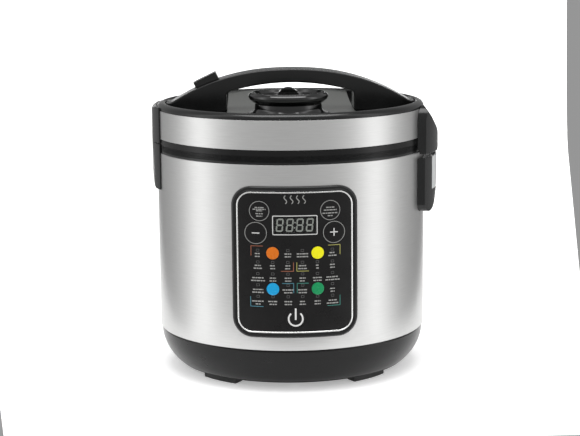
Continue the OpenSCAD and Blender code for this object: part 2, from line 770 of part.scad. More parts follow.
module inner_pot() color(dark_grey) rotate_extrude() polygon(concat([[0, pot_low]],
    arc(pot_r - 18, pot_low + 18, 18, -90, 0, 10), [[pot_r, pot_rim_z], [pot_rim_r, pot_rim_z],
    [pot_rim_r, pot_rim_z + 1.6], [pot_r - pot_t, pot_rim_z + 1.6]],
    arc(pot_r - 18, pot_low + 18, 18 - pot_t, 0, -90, 10), [[0, pot_low + pot_t]]));

module sensor_button() color(aluminium) rotate_extrude() polygon([[0, 76.3], [11, 76.3], [11, 84],
    [14, 84], [14, plate_top - 1], [13, plate_top], [0, plate_top]]);

// Removable cup, open at the top, its outer face follows the crown of the hinge cover
module condensate_cup() color([0.86, 0.87, 0.88, 0.7]) difference() {
    intersection() {
        translate([cup_out_x - cover_crown_r, 0, cup_low])
            cylinder(r = cover_crown_r, h = cup_top - cup_low);
        block([cup_in_x, -cup_half, cup_low], [160, cup_half, cup_top]);
        slab_y(-50, 50) polygon([[140, cup_low], [cup_out_x - 3.5, cup_low], [cup_out_x, cup_low + 4],
            [cup_out_x, 230], [140, 230]]);
    }
    intersection() {
        translate([cup_out_x - cover_crown_r, 0, cup_low]) cylinder(r = cover_crown_r - cup_wall, h = 60);
        block([cup_in_x + cup_wall, -cup_half + cup_wall, cup_low + cup_wall + 2],
            [160, cup_half - cup_wall, 260]);
    }
}

rubber_feet();
base_housing();
base_floor_ring();
bottom_cover();
bottom_screws();
body_sleeve();
upper_ring();
inner_liner();
heating_plate();
heating_element();
plate_supports();
side_heater_band();
thermal_fuse();
power_board();
power_inlet();
power_leads();
panel_frame();
panel_trim();
panel_overlay();
display_window();
control_board();
hinge_housing();
hinge_pin();
hinge_spring();
latch_housing();
latch_catch();
sensor_spring();
lid_band();
lid_top_cover();
lid_recess_floor();
lid_trough_plate();
handle_arch();
handle_underside();
hinge_cover();
lid_hinge_bracket();
latch_cover();
lid_lower_cover();
inner_lid_plate();
lid_gasket();
steam_gasket();
lid_sensor();
latch_pin();
button_spring();
function_key_left();
function_key_right();
minus_key();
plus_key();
orange_key();
yellow_key();
blue_key();
green_key();
power_key();
release_button();
latch_hook();
vent_cup();
vent_flange();
vent_cap();
inner_pot();
sensor_button();
condensate_cup();
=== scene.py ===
"""Looks of the multicooker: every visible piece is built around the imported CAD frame."""

import math

import bmesh
import bpy
from mathutils import Matrix, Vector


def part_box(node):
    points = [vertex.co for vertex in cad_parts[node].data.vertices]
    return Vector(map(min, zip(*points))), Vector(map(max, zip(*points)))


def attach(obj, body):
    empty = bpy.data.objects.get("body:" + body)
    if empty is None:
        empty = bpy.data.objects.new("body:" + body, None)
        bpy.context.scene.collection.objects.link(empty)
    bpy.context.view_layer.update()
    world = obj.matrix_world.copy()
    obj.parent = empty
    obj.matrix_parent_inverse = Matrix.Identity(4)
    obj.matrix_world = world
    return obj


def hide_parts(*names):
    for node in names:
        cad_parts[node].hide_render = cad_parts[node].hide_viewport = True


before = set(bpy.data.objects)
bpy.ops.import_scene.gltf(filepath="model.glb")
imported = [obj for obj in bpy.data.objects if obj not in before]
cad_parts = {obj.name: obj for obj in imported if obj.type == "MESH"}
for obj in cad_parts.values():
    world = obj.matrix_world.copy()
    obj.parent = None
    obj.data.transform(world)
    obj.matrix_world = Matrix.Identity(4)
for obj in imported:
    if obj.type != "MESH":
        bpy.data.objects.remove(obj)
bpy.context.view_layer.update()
scene = bpy.context.scene
MM = 0.001


def node_box(node):
    """Lowest and highest corner of a CAD node, in millimetres."""
    low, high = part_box(node)
    return low / MM, high / MM


# ---------- sizes, in millimetres, from the frame ----------

BODY_R = node_box("body_sleeve")[1].y
SLEEVE_LOW, SLEEVE_TOP = node_box("body_sleeve")[0].z, node_box("body_sleeve")[1].z
BAND_LOW, BAND_TOP = node_box("lid_band")[0].z, node_box("lid_band")[1].z
LID_LOW = node_box("lid_lower_cover")[0].z
RING_TOP = node_box("upper_ring")[1].z
RIM_TOP = node_box("lid_top_cover")[1].z
FOOT_H = node_box("base_housing")[0].z
ARCH_TOP = node_box("handle_arch")[1].z
ARCH_HALF = node_box("handle_arch")[1].y
PLATE_HALF = node_box("lid_trough_plate")[1].x
VENT = (node_box("vent_cup")[0] + node_box("vent_cup")[1]) / 2
RIM_SLOPE, RIM_ROUND = 7.2, 5.2
PANEL_LOW, PANEL_HIGH = node_box("panel_frame")
PANEL_Z = (PANEL_LOW.z + PANEL_HIGH.z) / 2
PANEL_W = PANEL_HIGH.x - PANEL_LOW.x
PANEL_H = PANEL_HIGH.z - PANEL_LOW.z
FRAME_R = -PANEL_LOW.y
OVERLAY_R = FRAME_R - 0.8
FLOOR_Z = node_box("handle_arch")[0].z
RIM_IN_R = 129.0
PLATE_R = 131.5
TROUGH_MID = FLOOR_Z + 1.6
TROUGH_RISE = RIM_TOP - 0.3 - TROUGH_MID
ARCH_POWER, ARCH_DROP, ARCH_REACH = 2.3, 28.4, 114.6
GRIP_TOP, GRIP_POWER, GRIP_DROP, GRIP_REACH = 295.4, 2.0, 8.6, 62.0


def arch_z(x):
    return ARCH_TOP - ARCH_DROP * (abs(x) / ARCH_REACH) ** ARCH_POWER


def grip_z(x):
    return GRIP_TOP - GRIP_DROP * (abs(x) / GRIP_REACH) ** GRIP_POWER


def trough_z(y):
    return TROUGH_MID + TROUGH_RISE * (y / PLATE_R) ** 2


# ---------- camera, floor and light ----------

def make_camera():
    """A long lens in front of the cooker, a little above it and turned slightly to its left."""
    distance, height, pitch, roll, azimuth = 1723.6, 452.0, 9.88, 0.54, 1.45
    camera = bpy.data.objects.new("camera", bpy.data.cameras.new("camera"))
    scene.collection.objects.link(camera)
    camera.data.sensor_width = 36
    camera.data.lens = 103.7
    camera.data.shift_x = -0.00197
    turn = Matrix.Rotation(math.radians(-azimuth), 4, "Z")
    place = Matrix.Translation((0, -distance * MM, height * MM))
    tilt = Matrix.Rotation(math.radians(90 - pitch), 4, "X")
    lean = Matrix.Rotation(math.radians(-roll), 4, "Z")
    camera.matrix_world = turn @ place @ tilt @ lean
    scene.camera = camera


def softbox(name, place, target, width, height, power, colour=(1, 1, 1)):
    data = bpy.data.lights.new(name, "AREA")
    data.shape = "RECTANGLE"
    data.size, data.size_y, data.energy, data.color = width, height, power, colour
    lamp = bpy.data.objects.new(name, data)
    scene.collection.objects.link(lamp)
    lamp.location = place
    lamp.rotation_euler = (Vector(target) - Vector(place)).to_track_quat("-Z", "Y").to_euler()


def make_surround():
    """World light by compass direction from the front: a bright band at each side, dim behind."""
    world = bpy.data.worlds.new("surround")
    scene.world = world
    world.use_nodes = True
    tree = world.node_tree
    where = add(tree, "ShaderNodeTexCoord")
    swing = add(tree, "ShaderNodeMapping", vector_type="VECTOR")
    swing.inputs["Rotation"].default_value = (0, 0, math.radians(4.5))
    split = add(tree, "ShaderNodeSeparateXYZ")
    tree.links.new(where.outputs["Generated"], swing.inputs["Vector"])
    tree.links.new(swing.outputs["Vector"], split.inputs["Vector"])
    side = maths(tree, "ABSOLUTE", split.outputs["X"])
    front = maths(tree, "MULTIPLY", split.outputs["Y"], -1.0)
    share = maths(tree, "DIVIDE", maths(tree, "ARCTAN2", side, front), math.pi)
    levels = add(tree, "ShaderNodeValToRGB")
    bands = levels.color_ramp
    # Degrees from the front and the light that comes from there
    steps = ((0, 0.29), (40, 0.31), (60, 0.4), (71, 0.8), (79, 1.1), (87, 0.8), (98, 0.36), (118, 0.22),
             (145, 0.16), (180, 0.12))
    for degrees, level in steps[1:-1]:
        bands.elements.new(degrees / 180)
    for element, (degrees, level) in zip(bands.elements, steps):
        element.position = degrees / 180
        element.color = (level, level, level, 1)
    tree.links.new(share, levels.inputs["Fac"])
    backdrop = tree.nodes["Background"]
    tree.links.new(levels.outputs["Color"], backdrop.inputs["Color"])
    backdrop.inputs["Strength"].default_value = 2.4


def make_stage():
    """Pale floor under and behind the cooker that curves up at its far end, and the lamps."""
    near, bend_from, bend_at, bend_r = -0.285, 1.0, 1.6, 0.9
    half_width, widening = 0.315, 0.178
    outline = [(near, 0.0), (0.0, 0.0), (bend_from, 0.0)]
    outline += [(bend_at + bend_r * math.sin(a), bend_r - bend_r * math.cos(a))
                for a in [i * math.pi / 40 for i in range(13)]]
    verts = [(side * (half_width + widening * y), y, z) for y, z in outline for side in (-1, 1)]
    faces = [(2 * i, 2 * i + 1, 2 * i + 3, 2 * i + 2) for i in range(len(outline) - 1)]
    mesh = bpy.data.meshes.new("floor")
    mesh.from_pydata(verts, [], faces)
    mesh.polygons.foreach_set("use_smooth", [True] * len(faces))
    floor = bpy.data.objects.new("floor", mesh)
    scene.collection.objects.link(floor)
    material, bsdf, _ = new_material("floor_white")
    bsdf.inputs["Base Color"].default_value = (0.93, 0.93, 0.93, 1)
    bsdf.inputs["Roughness"].default_value = 0.75
    bsdf.inputs["Emission Color"].default_value = (1, 1, 1, 1)
    bsdf.inputs["Emission Strength"].default_value = 0.35
    mesh.materials.append(material)
    softbox("top_box", (0, -0.1, 1.9), (0, 0.1, 0), 1.4, 1.2, 30)
    softbox("back_box", (0, 1.2, 1.3), (0, 2.4, 0.3), 2.2, 0.5, 14)
    scene.view_settings.view_transform = "Standard"


# ---------- materials ----------

def new_material(name):
    material = bpy.data.materials.new(name)
    material.use_nodes = True
    tree = material.node_tree
    return material, tree.nodes["Principled BSDF"], tree


def add(tree, kind, **values):
    """A node of that kind; values set its inputs by name or its own settings."""
    node = tree.nodes.new(kind)
    for key, value in values.items():
        label = key.replace("_", " ")
        if label in node.inputs:
            node.inputs[label].default_value = value
        else:
            setattr(node, key, value)
    return node


def maths(tree, operation, *values):
    """A Math node; each value is a float or another node's output."""
    node = add(tree, "ShaderNodeMath", operation=operation)
    for value, socket in zip(values, node.inputs):
        if isinstance(value, float):
            socket.default_value = value
        else:
            tree.links.new(value, socket)
    return node.outputs["Value"]


def coordinates(tree, scale):
    where = add(tree, "ShaderNodeTexCoord")
    mapping = add(tree, "ShaderNodeMapping")
    mapping.inputs["Scale"].default_value = scale
    tree.links.new(where.outputs["Object"], mapping.inputs["Vector"])
    return mapping.outputs["Vector"]


def ramp(tree, source, low, high, start=0.0, end=1.0):
    """Colour or grey between two values as source goes from start to end."""
    node = add(tree, "ShaderNodeValToRGB")
    node.color_ramp.elements[0].position, node.color_ramp.elements[1].position = start, end
    node.color_ramp.elements[0].color = (*low, 1) if isinstance(low, tuple) else (low, low, low, 1)
    node.color_ramp.elements[1].color = (*high, 1) if isinstance(high, tuple) else (high, high, high, 1)
    tree.links.new(source, node.inputs["Fac"])
    return node.outputs["Color"]


def noise(tree, vector, detail, roughness=0.5):
    texture = add(tree, "ShaderNodeTexNoise", Scale=1.0, Detail=detail, Roughness=roughness)
    tree.links.new(vector, texture.inputs["Vector"])
    return texture.outputs["Fac"]


def drive(tree, bsdf, name, source, low, high, start=0.3, end=0.7):
    """Lets a texture move one of the shader's values between two limits."""
    tree.links.new(ramp(tree, source, low, high, start, end), bsdf.inputs[name])


def emboss(tree, bsdf, height, strength, depth):
    """Fine bumps, from a texture."""
    relief = add(tree, "ShaderNodeBump", Strength=strength, Distance=depth)
    tree.links.new(height, relief.inputs["Height"])
    tree.links.new(relief.outputs["Normal"], bsdf.inputs["Normal"])


def shade(colour, factor):
    return tuple(min(1.0, c * factor) for c in colour)


def moulded(name, colour, roughness, grain=2600.0, bump=0.02, coat=0.0, wear=0.25, specular=0.5):
    """Moulded plastic or rubber: cloudy gloss, a fine grain and a slight change of tone."""
    material, bsdf, tree = new_material(name)
    clouds = noise(tree, coordinates(tree, (38, 38, 38)), 4.0, 0.6)
    drive(tree, bsdf, "Base Color", clouds, shade(colour, 1 - wear), shade(colour, 1 + wear))
    drive(tree, bsdf, "Roughness", clouds, roughness * 0.85, roughness * 1.15, 0.35, 0.65)
    emboss(tree, bsdf, noise(tree, coordinates(tree, (grain, grain, grain)), 2.0), bump, 0.0002)
    bsdf.inputs["Specular IOR Level"].default_value = specular
    bsdf.inputs["Coat Weight"].default_value = coat
    bsdf.inputs["Coat Roughness"].default_value = 0.08
    return material


def angle_height(tree):
    """The place round Z: angle, height, and the node that splits it into X, Y and Z."""
    where = add(tree, "ShaderNodeTexCoord")
    split = add(tree, "ShaderNodeSeparateXYZ")
    tree.links.new(where.outputs["Object"], split.inputs["Vector"])
    return maths(tree, "ARCTAN2", split.outputs["Y"], split.outputs["X"]), split.outputs["Z"], split


def combine(tree, x, y, z, scale):
    """Up to three values as one vector, scaled."""
    join = add(tree, "ShaderNodeCombineXYZ")
    for value, socket in zip((x, y, z), join.inputs):
        if value is not None:
            tree.links.new(value, socket)
    mapping = add(tree, "ShaderNodeMapping")
    mapping.inputs["Scale"].default_value = scale
    tree.links.new(join.outputs["Vector"], mapping.inputs["Vector"])
    return mapping.outputs["Vector"]


def brushed_steel():
    """Steel brushed around the cylinder: fine level lines, soft upright reflections."""
    material, bsdf, tree = new_material("brushed_steel")
    angle, height, _ = angle_height(tree)
    lines = noise(tree, combine(tree, angle, height, None, (1.4, 5200, 1)), 6.0, 0.75)
    streaks = noise(tree, combine(tree, angle, height, None, (7.0, 900, 1)), 3.0, 0.6)
    drive(tree, bsdf, "Base Color", streaks, (0.48, 0.48, 0.475), (0.52, 0.52, 0.515))
    drive(tree, bsdf, "Roughness", lines, 0.27, 0.35)
    emboss(tree, bsdf, lines, 0.05, 0.0001)
    tangent = add(tree, "ShaderNodeTangent", direction_type="RADIAL", axis="Z")
    tree.links.new(tangent.outputs["Tangent"], bsdf.inputs["Tangent"])
    bsdf.inputs["Metallic"].default_value = 1.0
    bsdf.inputs["Anisotropic"].default_value = 0.6
    return material


def metal(name, colour, roughness, scale=(300, 300, 6000), bump=0.04):
    material, bsdf, tree = new_material(name)
    grain = noise(tree, coordinates(tree, scale), 5.0, 0.7)
    drive(tree, bsdf, "Base Color", grain, shade(colour, 0.9), shade(colour, 1.06))
    drive(tree, bsdf, "Roughness", grain, roughness * 0.85, roughness * 1.2)
    emboss(tree, bsdf, grain, bump, 0.0001)
    bsdf.inputs["Metallic"].default_value = 1.0
    return material


def spun_metal(name, colour, roughness):
    """Metal turned on a lathe: fine rings about the vertical axis."""
    material, bsdf, tree = new_material(name)
    angle, height, split = angle_height(tree)
    length = add(tree, "ShaderNodeVectorMath", operation="LENGTH")
    flat = combine(tree, split.outputs["X"], split.outputs["Y"], None, (1, 1, 1))
    tree.links.new(flat, length.inputs[0])
    place_on_ring = combine(tree, length.outputs["Value"], height, angle, (2500, 2500, 0.8))
    rings = noise(tree, place_on_ring, 5.0, 0.7)
    drive(tree, bsdf, "Base Color", rings, shade(colour, 0.9), shade(colour, 1.08))
    drive(tree, bsdf, "Roughness", rings, roughness * 0.8, roughness * 1.2)
    bsdf.inputs["Metallic"].default_value = 1.0
    return material


def non_stick():
    """Dark coating with fine pale speckles."""
    material, bsdf, tree = new_material("non_stick_coating")
    speck = add(tree, "ShaderNodeTexVoronoi", Scale=1.0)
    tree.links.new(coordinates(tree, (420, 420, 420)), speck.inputs["Vector"])
    pale, dark = (0.16, 0.16, 0.16), (0.022, 0.022, 0.024)
    drive(tree, bsdf, "Base Color", speck.outputs["Distance"], pale, dark, 0.08, 0.2)
    emboss(tree, bsdf, noise(tree, coordinates(tree, (1500, 1500, 1500)), 3.0), 0.15, 0.0002)
    bsdf.inputs["Roughness"].default_value = 0.38
    return material


def circuit_board():
    """Green solder mask with lighter tracks."""
    material, bsdf, tree = new_material("circuit_board")
    tracks = add(tree, "ShaderNodeTexBrick", Scale=1.0)
    tracks.inputs["Color1"].default_value = (0.01, 0.11, 0.045, 1)
    tracks.inputs["Color2"].default_value = (0.012, 0.13, 0.055, 1)
    tracks.inputs["Mortar"].default_value = (0.03, 0.25, 0.1, 1)
    tracks.inputs["Mortar Size"].default_value = 0.03
    tree.links.new(coordinates(tree, (180, 180, 180)), tracks.inputs["Vector"])
    tree.links.new(tracks.outputs["Color"], bsdf.inputs["Base Color"])
    bsdf.inputs["Roughness"].default_value = 0.35
    return material


def clear(name, colour, roughness, alpha, transmission):
    """Clear or frosted plastic with a faint cloud in it."""
    material, bsdf, tree = new_material(name)
    clouds = noise(tree, coordinates(tree, (60, 60, 60)), 3.0)
    drive(tree, bsdf, "Base Color", clouds, shade(colour, 0.93), colour)
    bsdf.inputs["Roughness"].default_value = roughness
    bsdf.inputs["Transmission Weight"].default_value = transmission
    bsdf.inputs["Alpha"].default_value = alpha
    bsdf.inputs["IOR"].default_value = 1.45
    return material


def make_materials():
    """Every material by its name."""
    ink = dict(roughness=0.5, grain=5000.0, bump=0.05, wear=0.06)
    key = dict(roughness=0.28, grain=4000.0, coat=0.15, wear=0.05, specular=0.3)
    plastics = {
        "gloss_black": dict(colour=(0.005, 0.0053, 0.0053), roughness=0.22, bump=0.015, specular=0.32),
        "vent_black": dict(colour=(0.004, 0.0042, 0.0042), roughness=0.09, bump=0.01),
        "satin_black": dict(colour=(0.0035, 0.0035, 0.0036), roughness=0.24, grain=1800.0, bump=0.04,
                            specular=0.22),
        "grain_black": dict(colour=(0.02, 0.02, 0.021), roughness=0.5, grain=1200.0, bump=0.2),
        "rubber": dict(colour=(0.018, 0.018, 0.018), roughness=0.75, grain=900.0, bump=0.25),
        "overlay_black": dict(colour=(0.0042, 0.004, 0.0041), roughness=0.3, grain=3500.0, bump=0.03,
                              specular=0.22),
        "component": dict(colour=(0.03, 0.03, 0.032), roughness=0.45, bump=0.1),
        "copper_lead": dict(colour=(0.16, 0.06, 0.025), roughness=0.5, bump=0.08),
        "silicone": dict(colour=(0.55, 0.55, 0.54), roughness=0.5, grain=1500.0, bump=0.08, wear=0.06),
        "ink_white": dict(ink, colour=(0.62, 0.62, 0.61)),
        "ink_grey": dict(ink, colour=(0.3, 0.3, 0.29)),
        "ink_dim": dict(ink, colour=(0.1, 0.1, 0.1)),
        "ink_orange": dict(ink, colour=(0.32, 0.1, 0.05)),
        "ink_yellow": dict(ink, colour=(0.4, 0.38, 0.1)),
        "ink_blue": dict(ink, colour=(0.05, 0.2, 0.26)),
        "ink_green": dict(ink, colour=(0.03, 0.2, 0.16)),
        "digit": dict(ink, colour=(0.62, 0.66, 0.6), roughness=0.4),
        "key_orange": dict(key, colour=(0.62, 0.14, 0.0)),
        "key_yellow": dict(key, colour=(0.78, 0.74, 0.0)),
        "key_blue": dict(key, colour=(0.0, 0.3, 0.6)),
        "key_green": dict(key, colour=(0.0, 0.24, 0.08)),
    }
    metals = {
        "silver_paint": dict(colour=(0.26, 0.27, 0.255), roughness=0.3, scale=(2600, 260, 260), bump=0.03),
        "trim_silver": dict(colour=(0.78, 0.78, 0.77), roughness=0.25, scale=(900, 900, 900), bump=0.02),
        "bright_metal": dict(colour=(0.75, 0.75, 0.76), roughness=0.22, scale=(900, 900, 900)),
        "dark_metal": dict(colour=(0.2, 0.2, 0.21), roughness=0.4, scale=(700, 700, 700)),
    }
    result = {
        "brushed_steel": brushed_steel(),
        "aluminium": spun_metal("aluminium", (0.72, 0.72, 0.73), 0.32),
        "non_stick": non_stick(),
        "circuit_board": circuit_board(),
        "smoked": clear("smoked", (0.01, 0.01, 0.01), 0.08, 0.22, 0.0),
        "frosted": clear("frosted", (0.62, 0.63, 0.63), 0.25, 1.0, 0.15),
    }
    result.update((name, moulded(name, **look)) for name, look in plastics.items())
    result.update((name, metal(name, **look)) for name, look in metals.items())
    return result


# ---------- mesh helpers, all in millimetres ----------

def build(name, verts, faces, sharp=32.0):
    """A closed mesh from points in millimetres, with its normals outward and its real edges sharp."""
    mesh = bpy.data.meshes.new(name)
    mesh.from_pydata([(x * MM, y * MM, z * MM) for x, y, z in verts], [], faces)
    work = bmesh.new()
    work.from_mesh(mesh)
    bmesh.ops.remove_doubles(work, verts=work.verts, dist=1e-7)
    bmesh.ops.recalc_face_normals(work, faces=work.faces)
    work.to_mesh(mesh)
    work.free()
    return link(name, mesh, sharp)


def link(name, mesh, sharp=32.0):
    piece = bpy.data.objects.new(name, mesh)
    scene.collection.objects.link(piece)
    smooth(piece, sharp)
    return piece


def smooth(piece, sharp=32.0):
    piece.data.polygons.foreach_set("use_smooth", [True] * len(piece.data.polygons))
    piece.data.set_sharp_from_angle(angle=math.radians(sharp))
    even_out(piece)


def even_out(piece):
    """Weighted normals as the piece's last modifier, so that flat faces stay flat beside round edges."""
    drop_even(piece)
    even = piece.modifiers.new("even_normals", "WEIGHTED_NORMAL")
    even.keep_sharp = True


def drop_even(piece):
    if "even_normals" in piece.modifiers:
        piece.modifiers.remove(piece.modifiers["even_normals"])


def soften(piece, width, segments=4, limit=40.0):
    """Rounds every real edge."""
    round_off = piece.modifiers.new("round", "BEVEL")
    round_off.width = width * MM
    round_off.segments = segments
    round_off.limit_method = "ANGLE"
    round_off.angle_limit = math.radians(limit)
    round_off.use_clamp_overlap = True
    round_off.miter_outer = "MITER_ARC"
    even_out(piece)
    bake(piece)
    piece.data.set_sharp_from_angle(angle=math.radians(50))
    even_out(piece)
    return piece


def bake(piece):
    """Applies the modifiers to the mesh."""
    bpy.context.view_layer.update()
    shaped = piece.evaluated_get(bpy.context.evaluated_depsgraph_get())
    mesh = bpy.data.meshes.new_from_object(shaped)
    piece.modifiers.clear()
    piece.data = mesh


def round_corners(points, radius, steps=5):
    """Closed outline with its corners rounded; a point may carry its own radius as a third number."""
    result = []
    count = len(points)
    for i, point in enumerate(points):
        here = Vector(point[:2])
        before = Vector(points[i - 1][:2]) - here
        after = Vector(points[(i + 1) % count][:2]) - here
        want = point[2] if len(point) > 2 else radius
        turn = before.angle(after)
        reach = want / math.tan(turn / 2) if turn < math.pi - 1e-3 else 0
        reach = min(reach, 0.49 * before.length, 0.49 * after.length)
        if want <= 0 or reach < 1e-4 or turn > math.radians(172):
            result.append(tuple(here))
            continue
        start, end = here + before.normalized() * reach, here + after.normalized() * reach
        for k in range(steps + 1):
            t = k / steps
            result.append(tuple(start * (1 - t) ** 2 + here * 2 * t * (1 - t) + end * t ** 2))
    return result


def lathe(name, profile, at=(0.0, 0.0), steps=256, sharp=32.0):
    """Solid of revolution about a vertical axis, from a closed outline of (radius, height)."""
    count = len(profile)
    verts = [(at[0] + r * math.cos(a), at[1] + r * math.sin(a), z)
             for a in [2 * math.pi * i / steps for i in range(steps)] for r, z in profile]
    faces = [(i * count + k, ((i + 1) % steps) * count + k, ((i + 1) % steps) * count + (k + 1) % count,
              i * count + (k + 1) % count) for i in range(steps) for k in range(count)]
    return build(name, verts, faces, sharp)


def extrude(name, outline, low, high, axis="Y"):
    """Outline pushed out between two places: (x, z) along Y, (y, z) along X, or (x, y) along Z."""
    order = {"X": lambda p, q, d: (d, p, q),
             "Y": lambda p, q, d: (p, d, q),
             "Z": lambda p, q, d: (p, q, d)}[axis]
    count = len(outline)
    verts = [order(p, q, d) for d in (low, high) for p, q in outline]
    faces = [tuple(range(count)), tuple(range(2 * count - 1, count - 1, -1))]
    faces += [(i, (i + 1) % count, count + (i + 1) % count, count + i) for i in range(count)]
    return build(name, verts, faces)


def block(name, low, high):
    """Box between two corners."""
    corners = [(low[0], low[2]), (high[0], low[2]), (high[0], high[2]), (low[0], high[2])]
    return extrude(name, corners, low[1], high[1])


def rod(name, centre, radius, low, high, axis="Y", steps=48):
    """Cylinder between two places along an axis."""
    ring = [(centre[0] + radius * math.cos(2 * math.pi * i / steps),
             centre[1] + radius * math.sin(2 * math.pi * i / steps)) for i in range(steps)]
    return extrude(name, ring, low, high, axis)


def combine_shapes(piece, tool, how="DIFFERENCE"):
    """Cuts, joins or intersects with a tool, which is then removed."""
    change = piece.modifiers.new("change", "BOOLEAN")
    change.operation = how
    change.object = tool
    change.solver = "EXACT"
    drop_even(piece)
    bake(piece)
    mesh = tool.data
    bpy.data.objects.remove(tool)
    bpy.data.meshes.remove(mesh)
    smooth(piece)
    return piece


def refine(node, width):
    """A new piece from a CAD node's own shape, cleaned and with every edge rounded."""
    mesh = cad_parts[node].data.copy()
    mesh.materials.clear()
    work = bmesh.new()
    work.from_mesh(mesh)
    bmesh.ops.remove_doubles(work, verts=work.verts, dist=2e-6)
    bmesh.ops.dissolve_limit(work, angle_limit=math.radians(0.8), verts=work.verts, edges=work.edges)
    bmesh.ops.recalc_face_normals(work, faces=work.faces)
    work.to_mesh(mesh)
    work.free()
    return soften(link(node + "_skin", mesh), width, 4, 30.0)


def place(piece, body, material, nodes=(), slot=None):
    """Gives a piece its material, the body it rides on and the CAD nodes it stands for."""
    piece.data.materials.clear()
    piece.data.materials.append(MATERIALS[material])
    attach(piece, body)
    if nodes:
        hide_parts(*nodes)
    return piece


def join(name, pieces):
    """Several loose shapes as one piece."""
    work = bmesh.new()
    for piece in pieces:
        work.from_mesh(piece.data)
    mesh = bpy.data.meshes.new(name)
    work.to_mesh(mesh)
    work.free()
    for piece in pieces:
        old = piece.data
        bpy.data.objects.remove(piece)
        bpy.data.meshes.remove(old)
    return link(name, mesh)


# ---------- body ----------

def make_base():
    """Satin base that curves in towards the feet, with a fine lip along its lower edge."""
    top_r, low_r = 136.9, 118.2
    end = 2 * math.atan((top_r - low_r) / (SLEEVE_LOW - FOOT_H))
    radius = (SLEEVE_LOW - FOOT_H) / math.sin(end)
    lip_z = FOOT_H + 1.8
    last = math.asin((SLEEVE_LOW - lip_z) / radius)
    curve = [(top_r - radius + radius * math.cos(a), SLEEVE_LOW - radius * math.sin(a))
             for a in [last * i / 32 for i in range(33)]]
    lip_r = curve[-1][0]
    inside = [(r - 2.6, z + 1.2) for r, z in reversed(curve)]
    outline = [(top_r - 3, SLEEVE_LOW + 8), (top_r, SLEEVE_LOW + 8), (top_r, SLEEVE_LOW + 0.6),
               (top_r - 0.5, SLEEVE_LOW)] + curve[1:]
    outline += [(lip_r - 0.6, lip_z - 0.35), (lip_r - 1.7, lip_z - 0.5), (lip_r - 1.9, FOOT_H + 0.2),
                (lip_r - 2.3, FOOT_H), (111.2, FOOT_H), (111.2, FOOT_H + 3)] + inside[1:]
    base = lathe("base_tub", outline)
    combine_shapes(base, block("cut", (-15.4, 120, 49), (15.4, 145, 60)))
    place(base, "body", "satin_black", ["base_housing"], "base_plastic")

    out_r, in_r, half_angle = 113.4, 100.1, 11.4
    for i, turn in enumerate((-43, 43, 137, 223)):
        middle = math.radians(turn - 90)
        ring = []
        for r, side in ((out_r, 1), (in_r, -1)):
            for k in range(13):
                a = middle + side * math.radians(half_angle * (k / 6 - 1))
                ring.append((r * math.cos(a), r * math.sin(a)))
        pad = extrude("foot_%d" % (i + 1), ring, 0.0, FOOT_H, "Z")
        soften(pad, 1.4, 4)
        place(pad, "body", "rubber", ["rubber_feet"], "rubber")


def make_sleeve():
    """Steel sleeve with small rolled edges, open behind the panel and at the inlet."""
    t = 0.8
    outline = [(BODY_R - t, SLEEVE_LOW), (BODY_R - 0.35, SLEEVE_LOW), (BODY_R, SLEEVE_LOW + 0.5),
               (BODY_R, SLEEVE_TOP - 1.5), (BODY_R - 0.06, SLEEVE_TOP - 1.0),
               (BODY_R - 0.25, SLEEVE_TOP - 0.55),
               (BODY_R - 0.6, SLEEVE_TOP - 0.2), (BODY_R - 1.1, SLEEVE_TOP), (BODY_R - 1.3, SLEEVE_TOP - 0.5),
               (BODY_R - t, SLEEVE_TOP - 1.4)]
    sleeve = lathe("steel_sleeve", outline, steps=360, sharp=60)
    half_w, half_h = 51, 72.5
    panel_opening = ((-half_w, -150, PANEL_Z - half_h), (half_w, -100, PANEL_Z + half_h))
    inlet_opening = ((-14.6, 120, 49.6), (14.6, 150, 72.4))
    for low, high in (panel_opening, inlet_opening):
        combine_shapes(sleeve, block("cut", low, high))
    smooth(sleeve, 60)
    place(sleeve, "body", "brushed_steel", ["body_sleeve"], "brushed_steel")


def make_upper_ring():
    """Black ring with a shelf for the pot and a slot for the latch hook."""
    r, low, shelf = BODY_R, 222, 231.4
    outline = round_corners([(r - 1.1, low), (r - 1.1, SLEEVE_TOP - 0.4, 0),
                             (r - 0.15, SLEEVE_TOP + 0.25, 0.3), (r - 0.15, RING_TOP, 0.9),
                             (127.2, RING_TOP, 0.8), (125.6, shelf, 0.8), (119.8, shelf, 0.8), (119.8, 227.0),
                             (122.6, 227.0), (122.6, 228.9), (126.5, 228.9), (128.2, shelf + 2),
                             (134.6, shelf + 2), (134.6, low)], 0.2)
    ring = lathe("pot_ring", outline)
    combine_shapes(ring, block("cut", (-135, -9, 232), (-129.4, 9, 240)))
    smooth(ring)
    place(ring, "body", "gloss_black", ["upper_ring"], "gloss_black")
    low, high = node_box("hinge_pin")
    centre = ((low.x + high.x) / 2, (low.z + high.z) / 2)
    wide, eye_r, hole_r = 7, 4.0, 1.85
    for side, y in (("front", -13.0), ("back", 6.0)):
        high = (centre[0], y + wide, centre[1] + eye_r)
        arm = block("hinge_arm_" + side, (136.4, y, SLEEVE_TOP + 0.2), high)
        combine_shapes(arm, rod("eye", centre, eye_r, y, y + wide), "UNION")
        combine_shapes(arm, rod("hole", centre, hole_r, y - 1, y + wide + 1))
        soften(arm, 0.4, 2)
        place(arm, "body", "gloss_black", slot="gloss_black")


